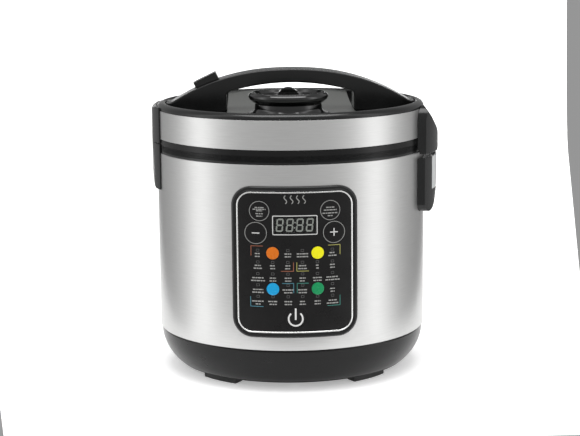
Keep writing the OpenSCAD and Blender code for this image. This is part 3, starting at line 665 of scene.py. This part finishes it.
def make_pot():
    """Pot with a rolled rim and a dark coating inside."""
    low, high = node_box("inner_pot")
    r, t, rim = 117.5, 2.0, 1.6
    outline = round_corners([(0.0, low.z), (r, low.z, 18.0), (r, high.z - rim, 0.8),
                             (high.x, high.z - rim, 0.6), (high.x, high.z, 0.8), (r - t, high.z, 0.8),
                             (r - t, low.z + t, 16.0), (0.0, low.z + t)], 0.0, 10)
    pot = lathe("cooking_pot", outline, steps=192)
    place(pot, "inner_pot", "non_stick", ["inner_pot"], "pot_coating")
    # Level marks pressed inside, on two sides
    marks = []
    for side in (0.0, math.pi):
        for i in range(5):
            z, half = low.z + 40 + 18 * i, math.radians(3.2 if i % 2 else 2.2)
            arc = [(rr * math.cos(side + half * s), rr * math.sin(side + half * s))
                   for rr, order in (((r - t - 0.2), 1), ((r - t + 0.3), -1))
                   for s in [order * (-1 + k / 4) for k in range(9)]]
            marks.append(extrude("mark", arc, z, z + 0.9, "Z"))
    place(join("pot_level_marks", marks), "inner_pot", "ink_grey", slot="pot_coating")


# ---------- control panel ----------

def panel_ring(inset, corner=19.0, side_steps=18, corner_steps=12):
    """Points of the panel's outline, moved inward, as (x, z); the same number for any inset."""
    centres = [(sx * (PANEL_W / 2 - corner), PANEL_Z + sz * (PANEL_H / 2 - corner))
               for sx, sz in ((1, 1), (-1, 1), (-1, -1), (1, -1))]

    def on_corner(number, share):
        cx, cz = centres[number % 4]
        a = math.pi / 2 * (number % 4 + share)
        return cx + (corner - inset) * math.cos(a), cz + (corner - inset) * math.sin(a)

    points = []
    for number in range(4):
        points += [on_corner(number, k / corner_steps) for k in range(corner_steps + 1)]
        (x0, z0), (x1, z1) = points[-1], on_corner(number + 1, 0)
        points += [(x0 + (x1 - x0) * k / side_steps, z0 + (z1 - z0) * k / side_steps)
                   for k in range(1, side_steps)]
    return points


def on_front(x, z, radius):
    """The place in front of the body's axis, at that radius."""
    return (x, -math.sqrt(radius * radius - x * x), z)


def swept_frame(name, section):
    """Closed section of (inset, radius) carried round the panel's outline."""
    loops = [[on_front(x, z, radius) for x, z in panel_ring(inset)] for inset, radius in section]
    count, rings = len(loops[0]), len(loops)
    verts = [p for loop in loops for p in loop]
    faces = [(k * count + i, k * count + (i + 1) % count, ((k + 1) % rings) * count + (i + 1) % count,
              ((k + 1) % rings) * count + i) for k in range(rings) for i in range(count)]
    return build(name, verts, faces)


def wrapped_plate(name, outline, r_in, r_out, holes=()):
    """Outline in (x, z), with holes, bent round the body between two radii."""
    plate = extrude(name, outline, -1.0, 0.0)
    for hole in holes:
        combine_shapes(plate, extrude("hole", hole, -2.0, 1.0))
    return bend(plate, r_in, r_out)


def bend(plate, r_in, r_out):
    """Slices a flat piece upright and wraps it round the body: y = 0 goes to r_in and y = -1 to r_out."""
    work = bmesh.new()
    work.from_mesh(plate.data)
    xs = [v.co.x for v in work.verts]
    low, high = min(xs), max(xs)
    count = max(2, int((high - low) / MM / 2.5))
    for i in range(1, count):
        cut = low + (high - low) * i / count
        bmesh.ops.bisect_plane(work, geom=work.verts[:] + work.edges[:] + work.faces[:],
                               plane_co=(cut, 0, 0), plane_no=(1, 0, 0), dist=1e-7)
    for v in work.verts:
        radius = (r_in + (r_out - r_in) * min(1.0, max(0.0, -v.co.y / MM))) * MM
        v.co.y = -math.sqrt(radius * radius - v.co.x * v.co.x)
    bmesh.ops.recalc_face_normals(work, faces=work.faces)
    work.to_mesh(plate.data)
    work.free()
    smooth(plate)
    return plate


def circle(x, z, radius, steps=64):
    """Outline of a circle in (x, z)."""
    return [(x + radius * math.cos(2 * math.pi * i / steps), z + radius * math.sin(2 * math.pi * i / steps))
            for i in range(steps)]


def rounded_box(x, z, width, height, corner, steps=5):
    w, h = width / 2, height / 2
    return round_corners([(x + w, z + h), (x - w, z + h), (x - w, z - h), (x + w, z - h)], corner, steps)


def flat_ink(name, shapes, radius=None, thickness=0.06):
    """Printed shapes just proud of the panel; a shape is an outline, or a pair of outlines for a ring."""
    radius = radius or OVERLAY_R
    verts, faces = [], []
    for shape in shapes:
        base = len(verts)
        ring = isinstance(shape[0][0], (tuple, list))
        loops = shape if ring else [shape]
        for level in (0.0, -1.0):
            for loop in loops:
                verts += [(x, level, z) for x, z in loop]
        n = len(loops[0])
        if ring:
            for i in range(n):
                j = (i + 1) % n
                a, b, c, d = base, base + n, base + 2 * n, base + 3 * n
                faces += [(a + i, a + j, b + j, b + i), (c + i, c + j, d + j, d + i),
                          (a + i, a + j, c + j, c + i), (b + i, b + j, d + j, d + i)]
        else:
            faces += [tuple(base + i for i in range(n)), tuple(base + n + i for i in range(n))]
            faces += [(base + i, base + (i + 1) % n, base + n + (i + 1) % n, base + n + i) for i in range(n)]
    return bend(build(name, verts, faces), radius - 0.08, radius + thickness)


def bar(x, z, width, height):
    return [(x - width / 2, z - height / 2), (x + width / 2, z - height / 2),
            (x + width / 2, z + height / 2), (x - width / 2, z + height / 2)]


def stroke(points, width):
    """Outline of a line of that width along the points."""
    left, right = [], []
    for i, p in enumerate(points):
        a, b = Vector(points[max(0, i - 1)]), Vector(points[min(len(points) - 1, i + 1)])
        d = (b - a).normalized()
        side = Vector((-d.y, d.x)) * width / 2
        left.append((p[0] + side.x, p[1] + side.y))
        right.append((p[0] - side.x, p[1] - side.y))
    return left + right[::-1]


def bracket(x, z, dx, dz, width=0.55):
    """Corner mark with its corner at (x, z)."""
    wx, wz = math.copysign(width, dx), math.copysign(width, dz)
    return [(x, z), (x + dx, z), (x + dx, z + wz), (x + wx, z + wz), (x + wx, z + dz), (x, z + dz)]


# Each key's x, z and radius; the window's x, z, width and height
ROUND_KEYS = {"function_key_left": (-34.3, 182.9, 9.8), "function_key_right": (34.3, 182.9, 9.8),
              "minus_key": (-37.9, 161.3, 10.8), "plus_key": (37.9, 161.3, 10.8),
              "power_key": (0.0, 78.0, 10.2)}
COLOUR_KEYS = {"orange_key": (-21.8, 141.7, 6.1), "yellow_key": (21.8, 141.7, 6.1),
               "blue_key": (-21.8, 106.3, 6.1), "green_key": (21.8, 106.3, 6.1)}
WINDOW = (0.0, 169.1, 43.2, 18.6)
KEY_R = OVERLAY_R + 0.12


def key_cap(name, x, z, radius, edge, dome, depth=4.0, steps=72):
    """Round cap that follows the panel's curve: edge is its height at the rim, dome its middle."""
    rows = [(radius, OVERLAY_R - depth), (radius, edge - 0.35), (radius - 0.12, edge - 0.12),
            (radius - 0.4, edge)]
    for k in range(1, 8):
        t = k / 8
        rows.append(((radius - 0.4) * (1 - t), edge + (dome - edge) * math.sin(t * math.pi / 2)))
    verts = [on_front(x + r * math.cos(a), z + r * math.sin(a), level)
             for r, level in rows for a in [2 * math.pi * i / steps for i in range(steps)]]
    faces = [(k * steps + i, k * steps + (i + 1) % steps, (k + 1) * steps + (i + 1) % steps,
              (k + 1) * steps + i) for k in range(len(rows) - 1) for i in range(steps)]
    verts.append(on_front(x, z, dome))
    last = (len(rows) - 1) * steps
    faces += [(last + i, last + (i + 1) % steps, len(verts) - 1) for i in range(steps)]
    faces.append(tuple(range(steps)))
    return build(name, verts, faces, 50)


def make_panel():
    """Bezel, silver trim, overlay, window and keys, with what is printed on them."""
    section = [(0.15, BODY_R + 0.1), (0.0, BODY_R + 0.6), (0.15, FRAME_R - 1.2), (0.6, FRAME_R - 0.5),
               (1.2, FRAME_R - 0.12), (1.9, FRAME_R), (2.6, FRAME_R - 0.08), (3.3, FRAME_R - 0.35),
               (4.2, FRAME_R - 0.75), (4.9, FRAME_R - 0.95), (4.9, BODY_R + 1.2), (9.0, BODY_R + 1.2),
               (9.0, BODY_R + 0.1)]
    place(swept_frame("panel_bezel", section), "body", "gloss_black", ["panel_frame"], "gloss_black")
    trim_r = OVERLAY_R + 0.3
    trim = [(4.95, OVERLAY_R - 1.4), (4.95, trim_r - 0.2), (5.1, trim_r - 0.04), (5.6, trim_r),
            (6.1, trim_r - 0.04), (6.25, trim_r - 0.2), (6.25, OVERLAY_R - 1.4)]
    place(swept_frame("panel_silver_trim", trim), "body", "trim_silver", ["panel_trim"], "silver_plastic")

    holes = [circle(x, z, r + 0.25) for x, z, r in {**ROUND_KEYS, **COLOUR_KEYS}.values()]
    holes.append(rounded_box(*WINDOW[:2], WINDOW[2] + 0.2, WINDOW[3] + 0.2, 1.3))
    overlay = wrapped_plate("panel_face", panel_ring(6.0), OVERLAY_R - 1.6, OVERLAY_R, holes)
    place(overlay, "body", "overlay_black", ["panel_overlay"], "gloss_black")

    make_window()
    make_keys()
    make_prints()


def make_window():
    """Smoked pane with a printed border, and the display's digits behind it."""
    x, z, w, h = WINDOW
    pane = wrapped_plate("display_pane", rounded_box(x, z, w, h, 1.2), OVERLAY_R - 0.7, OVERLAY_R + 0.02)
    place(pane, "body", "smoked", ["display_window"], "window_dark")
    back = wrapped_plate("display_back", rounded_box(x, z, w, h, 1.2), OVERLAY_R - 1.6, OVERLAY_R - 1.1)
    place(back, "body", "overlay_black", slot="components")
    edge = [(rounded_box(x, z, w + 0.5, h + 0.5, 1.5), rounded_box(x, z, w - 1.1, h - 1.1, 0.8))]
    place(flat_ink("display_border", edge, OVERLAY_R + 0.02), "body", "ink_white", slot="window_dark")
    place(flat_ink("display_digits", digits(x, z), OVERLAY_R - 1.08, 0.1), "body", "digit", slot="components")


def print_on_key(key, name, shapes, ink):
    place(flat_ink(name, shapes, KEY_R), key, ink, slot="key_black")


def make_keys():
    """Domed colour keys and flat black keys, with rings, dashes and signs printed on the black ones."""
    for name, (kx, kz, kr) in COLOUR_KEYS.items():
        cap = key_cap(name + "_cap", kx, kz, kr, OVERLAY_R + 0.2, OVERLAY_R + 0.75)
        place(cap, name, "key_" + name[:-4], [name], "key_" + name[:-4])
    for name, (kx, kz, kr) in ROUND_KEYS.items():
        cap = key_cap(name + "_cap", kx, kz, kr, KEY_R, KEY_R)
        place(cap, name, "overlay_black", [name], "key_black")
        if name != "power_key":
            rim = [(circle(kx, kz, kr - 0.1), circle(kx, kz, kr - 0.62))]
            print_on_key(name, name + "_ring", rim, "ink_grey")
    # Height above the key's middle and width of each dashed line
    lines = {"function_key_left": ((3.4, 8.5), (1.7, 12.5), (0.2, 6.0), (-2.6, 7.0), (-5.0, 6.0)),
             "function_key_right": ((2.8, 8.0), (0.2, 12.5), (-2.8, 15.0), (-5.4, 5.0))}
    for name, rows in lines.items():
        kx, kz, _ = ROUND_KEYS[name]
        dashes = [d for dz, w in rows for d in dash_row(kx, kz + dz, w, 1.0)]
        print_on_key(name, name + "_marks", dashes, "ink_grey")
    kx, kz, _ = ROUND_KEYS["minus_key"]
    print_on_key("minus_key", "minus_mark", [bar(kx, kz, 7.4, 1.0)], "ink_white")
    kx, kz, _ = ROUND_KEYS["plus_key"]
    arm, half = 3.8, 0.5
    quarter = ((arm, -half), (arm, half), (half, half))
    cross = [(kx + x * math.cos(a) - z * math.sin(a), kz + x * math.sin(a) + z * math.cos(a))
             for a in [i * math.pi / 2 for i in range(4)] for x, z in quarter]
    print_on_key("plus_key", "plus_mark", [cross], "ink_white")
    ring_r, ring_z = 6.9, 76.8
    ring = [(ring_r * math.sin(a), ring_z + ring_r * math.cos(a))
            for a in [math.radians(40 + 280 * i / 48) for i in range(49)]]
    print_on_key("power_key", "power_mark", [stroke(ring, 1.6), bar(0, 81.5, 1.7, 11.5)], "ink_white")


def dash_row(x, z, width, height):
    """A row of short dashes of uneven length."""
    result, at, i = [], x - width / 2, 0
    while at < x + width / 2 - 0.4:
        length = min((2.6, 1.6, 3.4, 2.0)[i % 4], x + width / 2 - at)
        result.append(bar(at + length / 2, z, length, height))
        at += length + 0.55
        i += 1
    return result


def digits(x, z):
    """Four slanted seven-segment eights and a colon."""
    height, width, thick, slant = 13.0, 7.0, 1.45, 0.1
    half, gap, wide = thick / 2, 0.55, width / 2 - 0.55

    def tilt(points):
        return [(px + slant * (pz - z), pz) for px, pz in points]

    shapes = []
    for cx in [x + offset for offset in (-14.6, -4.9, 4.8, 14.4)]:
        for level in (-1, 0, 1):
            zz = z + level * (height - thick) / 2
            near, far = cx - wide + half, cx + wide - half
            shapes.append(tilt([(cx - wide, zz), (near, zz + half), (far, zz + half), (cx + wide, zz),
                                (far, zz - half), (near, zz - half)]))
        for px, up in [(cx + sx * (width - thick) / 2, sz) for sx in (-1, 1) for sz in (-1, 1)]:
            a, b = z + up * 0.45, z + up * (height / 2 - gap)
            shapes.append(tilt([(px, a), (px + half, a + up * half), (px + half, b - up * half), (px, b),
                                (px - half, b - up * half), (px - half, a + up * half)]))
    for dz in (-2.6, 2.6):
        shapes.append(tilt(circle(x - 0.05, z + dz, 0.75, 20)))
    return shapes


def make_prints():
    """Programme marks: an outlined lamp over two dashed lines in each place, and coloured corner marks."""
    columns = (-36.2, -21.8, -7.1, 7.0, 21.5, 36.2)
    lamps = (144.4, 132.8, 121.3, 110.2, 98.8)
    labels = (141.1, 129.4, 117.2, 105.6, 94.0)
    # Widths of the upper and lower line in each place; the colour keys take four places
    rows = (((5.5, 5.5), None, (6.5, 6), (11, 11), None, (5.5, 8)),
            ((6, 8), (5.5, 5), (5, 5.5), (7, 8.5), (3, 2.5), (5, 4.5)),
            ((11, 13.5), (6, 6.5), (6.5, 6), (6, 5.5), (9, 8), (12, 14)),
            ((10, 11.5), None, (11, 8), (9, 8), None, (5, 4)),
            ((12, 5), (9.5, 7), (7.5, 7), (5.5, 6), (6, 6), (8, 11.5)))
    boxes, dashes = [], []
    for z, label_z, row in zip(lamps, labels, rows):
        for x, widths in zip(columns, row):
            if widths is None:
                continue
            boxes.append((rounded_box(x, z, 2.9, 2.5, 0.4, 2), rounded_box(x, z, 2.3, 1.9, 0.3, 2)))
            for drop, width in zip((0.0, 2.8), widths):
                dashes += dash_row(x, label_z - drop, width, 1.15)
    place(flat_ink("lamp_marks", boxes), "body", "ink_dim", slot="gloss_black")
    place(flat_ink("label_dashes", dashes), "body", "ink_grey", slot="gloss_black")
    marks = {"ink_orange": [bracket(-42.9, 148.9, 11.8, -9.9), bracket(-1.45, 123.8, -12.3, 8.9)],
             "ink_yellow": [bracket(44.0, 148.9, -11.8, -9.9), bracket(1.2, 123.8, 12.0, 8.9)],
             "ink_blue": [bracket(-43.8, 88.5, 12.6, 10.1), bracket(-1.45, 112.3, -11.5, -9.9)],
             "ink_green": [bracket(43.8, 88.5, -12.6, 10.1), bracket(1.4, 112.3, 11.5, -9.9)]}
    for ink, shapes in marks.items():
        place(flat_ink("corner_marks_" + ink[4:], shapes), "body", ink, slot="gloss_black")
    low, high, swing = 190.2, 198.2, 1.3
    waves = [stroke([(x + swing * math.sin(t * 2 * math.pi), low + (high - low) * t)
                     for t in [i / 16 for i in range(17)]], 0.8) for x in (-9.0, -3.0, 3.0, 9.0)]
    place(flat_ink("steam_icon", waves), "body", "ink_grey", slot="gloss_black")


# ---------- lid ----------

def make_lid():
    """Steel band, black top with its rounded rim, and the lower cover."""
    t = 0.8
    band = round_corners([(BODY_R - t, BAND_LOW, 0.2), (BODY_R, BAND_LOW, 0.35), (BODY_R, BAND_TOP, 0.5),
                          (BODY_R - t, BAND_TOP, 0.2)], 0.2, 4)
    band = lathe("lid_steel_band", band, steps=360, sharp=60)
    place(band, "lid", "brushed_steel", ["lid_band"], "brushed_steel")

    r, top = BODY_R, RIM_TOP
    rim = [(r - 0.9, BAND_LOW + 0.1), (r - 0.9, BAND_TOP - 0.1), (r - 0.25, BAND_TOP + 0.05)]
    rim += [(r - RIM_SLOPE * (1 - math.cos(a)), top - RIM_ROUND * (1 - math.sin(a)))
            for a in [math.pi / 2 * i / 12 for i in range(1, 13)]]
    rim += [(RIM_IN_R + 2 - 2 * math.sin(a), top - 2 + 2 * math.cos(a))
            for a in [math.pi / 2 * i / 8 for i in range(1, 9)]]
    rim += [(RIM_IN_R, FLOOR_Z - 2), (126.0, FLOOR_Z - 2), (126.0, FLOOR_Z - 3.5), (r - 3.2, FLOOR_Z - 3.5),
            (r - 3.2, BAND_LOW + 0.1)]
    cover = lathe("lid_top", rim)
    seat = [(y, trough_z(y) - 1.6) for y in range(-136, 137, 8)] + [(136, 300), (-136, 300)]
    cut = extrude("seat", seat, -PLATE_HALF - 0.2, PLATE_HALF + 0.2, "X")
    combine_shapes(cut, rod("round", (0, 0), PLATE_R + 0.1, 200, 400, "Z", 192), "INTERSECT")
    combine_shapes(cover, cut)
    place(cover, "lid", "gloss_black", ["lid_top_cover"], "gloss_black")

    wall_r, floor_top = 134.6, LID_LOW + 2.5
    lower = round_corners([(0.0, LID_LOW, 0), (r - 0.15, LID_LOW, 0.7), (r - 0.15, BAND_LOW - 0.1, 0.3),
                           (wall_r, BAND_LOW - 0.1, 0.3), (wall_r, floor_top), (0.0, floor_top, 0)], 0.3, 4)
    floor = lathe("lid_floor", lower)
    # Openings for the steam, the latch hook and the temperature sensor
    cut_low, cut_high = 230, 245
    combine_shapes(floor, rod("hole", (VENT.x, VENT.y), 10, cut_low, cut_high, "Z"))
    combine_shapes(floor, block("slot", (-wall_r, -8, cut_low), (-126, 8, cut_high)))
    combine_shapes(floor, rod("hole", (45, 40), 4.1, cut_low, cut_high, "Z"))
    place(floor, "lid", "satin_black", ["lid_lower_cover"], "gloss_black")


def make_plate():
    """Silver plate: dished front to back, with rounded skirts at its sides and a hole for the vent."""
    across, t, half_length, skirt_half, vent_hole_r = PLATE_HALF, 1.5, 136, 110, 41.2
    section = [(y, trough_z(y)) for y in [half_length * (i / 36 - 1) for i in range(73)]]
    under = [(y, z - t) for y, z in reversed(section)]
    plate = extrude("trough_plate", section + under, -across, across, "X")
    combine_shapes(plate, rod("round", (0, 0), PLATE_R, 200, 400, "Z", 192), "INTERSECT")
    combine_shapes(plate, rod("hole", (VENT.x, VENT.y), vent_hole_r, 200, 400, "Z", 128))
    soften(plate, 0.45, 3, 45)
    place(plate, "lid", "silver_paint", ["lid_trough_plate"], "silver_plastic")
    for side, x in (("left", -across), ("right", across - t)):
        wall = [(y, trough_z(y) - 0.4) for y in [skirt_half * (i / 20 - 1) for i in range(41)]]
        wall += [(skirt_half, FLOOR_Z + 0.02), (-skirt_half, FLOOR_Z + 0.02)]
        skirt = extrude("plate_skirt_" + side, wall, x, x + t, "X")
        place(skirt, "lid", "silver_paint", slot="silver_plastic")


def make_handle():
    """Arched handle: glossy, rounded along its edges, hollow for the button's mechanism."""
    end = math.sqrt((RIM_IN_R - 0.3) ** 2 - ARCH_HALF ** 2)
    xs = [-end + 2 * end * i / 120 for i in range(121)]
    outline = [(x, max(arch_z(x), RIM_TOP - 0.1)) for x in xs]
    half = PLATE_HALF + 0.3
    foot = [(end, FLOOR_Z + 0.02), (half, FLOOR_Z + 0.02), (half, grip_z(GRIP_REACH) - 2.0)]
    under = [(x, grip_z(x)) for x in [GRIP_REACH - 2 * GRIP_REACH * i / 60 for i in range(61)]]
    outline += foot + under + [(-x, z) for x, z in reversed(foot)]
    arch = extrude("handle", outline, -ARCH_HALF, ARCH_HALF)
    soften(arch, 1.5, 5, 40)
    # The button lies on the arch's slope, in a slot with a little room round it
    slope = Matrix.Translation(Vector((-88, 0, 300.9)) * MM) @ Matrix.Rotation(math.radians(-25.8), 4, "Y")
    w, d, h, room = 12.75, 8.5, 15.0, 0.4
    slot = block("slot", (-w - room, -d - room, -22), (w + room, d + room, 6))
    slot.data.transform(slope)
    combine_shapes(arch, slot)
    combine_shapes(arch, block("slot", (-99, -6, 260), (-84, 6, 292)))
    smooth(arch)
    place(arch, "lid", "gloss_black", ["handle_arch", "handle_underside"], "gloss_black")

    button = block("button_block", (-w, -d, -h), (w, d, 0))
    for i in range(4):
        groove = rod("groove", (-7.5 + 2.6 * i, 0.35), 0.75, -6.5, 6.5)
        combine_shapes(button, groove)
    soften(button, 0.9, 4, 40)
    button.data.transform(slope)
    leg = block("leg", (-97, -4, 257.6), (-92, 4, 286.5))
    button = join("release_button_body", [button, leg])
    place(button, "release_button", "gloss_black", ["release_button"], "gloss_black")


def make_vent():
    """Steam vent: cup with a flange, and a cap with a dished top and a half-disc grip."""
    at = (VENT.x, VENT.y)
    base = node_box("vent_cup")[0].z
    low = FLOOR_Z + 0.3
    stem_r, in_r, top = 22, 20, 279
    cup = round_corners([(3, base), (stem_r, base, 1), (stem_r, low), (40, low, 0.5), (40, low + 3.4, 1.0),
                         (35.8, low + 4.7, 3), (33.8, low + 7.4, 3), (33.4, top, 0.5), (in_r, top, 0.8),
                         (in_r, 248, 1), (3, 248)], 0.3, 6)
    cup = lathe("vent_lower_cup", cup, at, 160)
    place(cup, "vent_cup", "vent_black", ["vent_cup", "vent_flange"], "gloss_black")
    cap = round_corners([(0, 281.6, 0), (16.8, 281.6), (16.8, 278), (19.6, 278), (19.6, 279.3),
                         (33.4, 279.3, 0.8), (36.2, 281.2, 3), (39.0, 283.7, 1.6), (39.7, 285.6, 1.2),
                         (39.7, 287.8, 1.2), (38.2, 289.0, 0.8), (36.4, 289.1, 0.6), (35.6, 290.4, 0.7),
                         (34.0, 290.4, 1.2), (31.2, 286.2, 2.5), (0, 286, 0)], 0.3, 6)
    dish = lathe("vent_top_cap", cap, at, 160)
    for a in (-40, 40, 140, 220):
        out = math.radians(a)
        steam_hole = (at[0] + 13 * math.cos(out), at[1] + 13 * math.sin(out))
        combine_shapes(dish, rod("hole", steam_hole, 2.4, 276, 292, "Z", 32))
    smooth(dish)
    place(dish, "vent_cap", "vent_black", ["vent_cap"], "gloss_black")
    fin_r, fin_z, fin_low = 11.5, 283.5, 285.8
    ring = [(at[0] + fin_r * math.cos(a), fin_z + fin_r * math.sin(a))
            for a in [math.pi * i / 40 for i in range(41)]]
    ring = [point for point in ring if point[1] > fin_low + 0.1]
    outline = [(at[0] + fin_r, fin_low)] + ring + [(at[0] - fin_r, fin_low)]
    fin = extrude("vent_grip", outline, at[1] - 3, at[1] + 3)
    soften(fin, 1.3, 4, 40)
    place(fin, "vent_cap", "vent_black", slot="gloss_black")


def make_side_covers():
    """Hinge and latch covers and housings, and the clear cup, from their CAD shapes."""
    covers = {"hinge_cover": "lid", "hinge_housing": "body", "latch_cover": "lid", "latch_housing": "body"}
    for node, body in covers.items():
        place(refine(node, 1.2), body, "gloss_black", [node], "gloss_black")
    place(refine("condensate_cup", 0.5), "condensate_cup", "frosted", ["condensate_cup"], "clear_plastic")


def dress_cad():
    """Materials of the CAD nodes that stay."""
    looks = {
        "grain_black": ("base_floor_ring", "bottom_cover"),
        "gloss_black": ("lid_recess_floor",),
        "bright_metal": ("bottom_screws", "plate_supports", "hinge_pin", "hinge_spring", "latch_catch",
                         "sensor_spring", "lid_sensor", "latch_pin", "button_spring"),
        "aluminium": ("inner_liner", "heating_plate", "inner_lid_plate", "sensor_button"),
        "dark_metal": ("heating_element", "side_heater_band", "lid_hinge_bracket", "latch_hook"),
        "silicone": ("thermal_fuse", "lid_gasket", "steam_gasket"),
        "circuit_board": ("power_board",),
        "component": ("control_board",),
        "copper_lead": ("power_leads",),
    }
    look_of = {node: look for look, nodes in looks.items() for node in nodes}
    for node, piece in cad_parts.items():
        if piece.hide_render:
            continue
        piece.data.materials.clear()
        piece.data.materials.append(MATERIALS[look_of.get(node, "satin_black")])


MATERIALS = make_materials()
make_camera()
make_surround()
make_stage()
make_base()
make_sleeve()
make_upper_ring()
make_pot()
make_panel()
make_lid()
make_plate()
make_handle()
make_vent()
make_side_covers()
dress_cad()
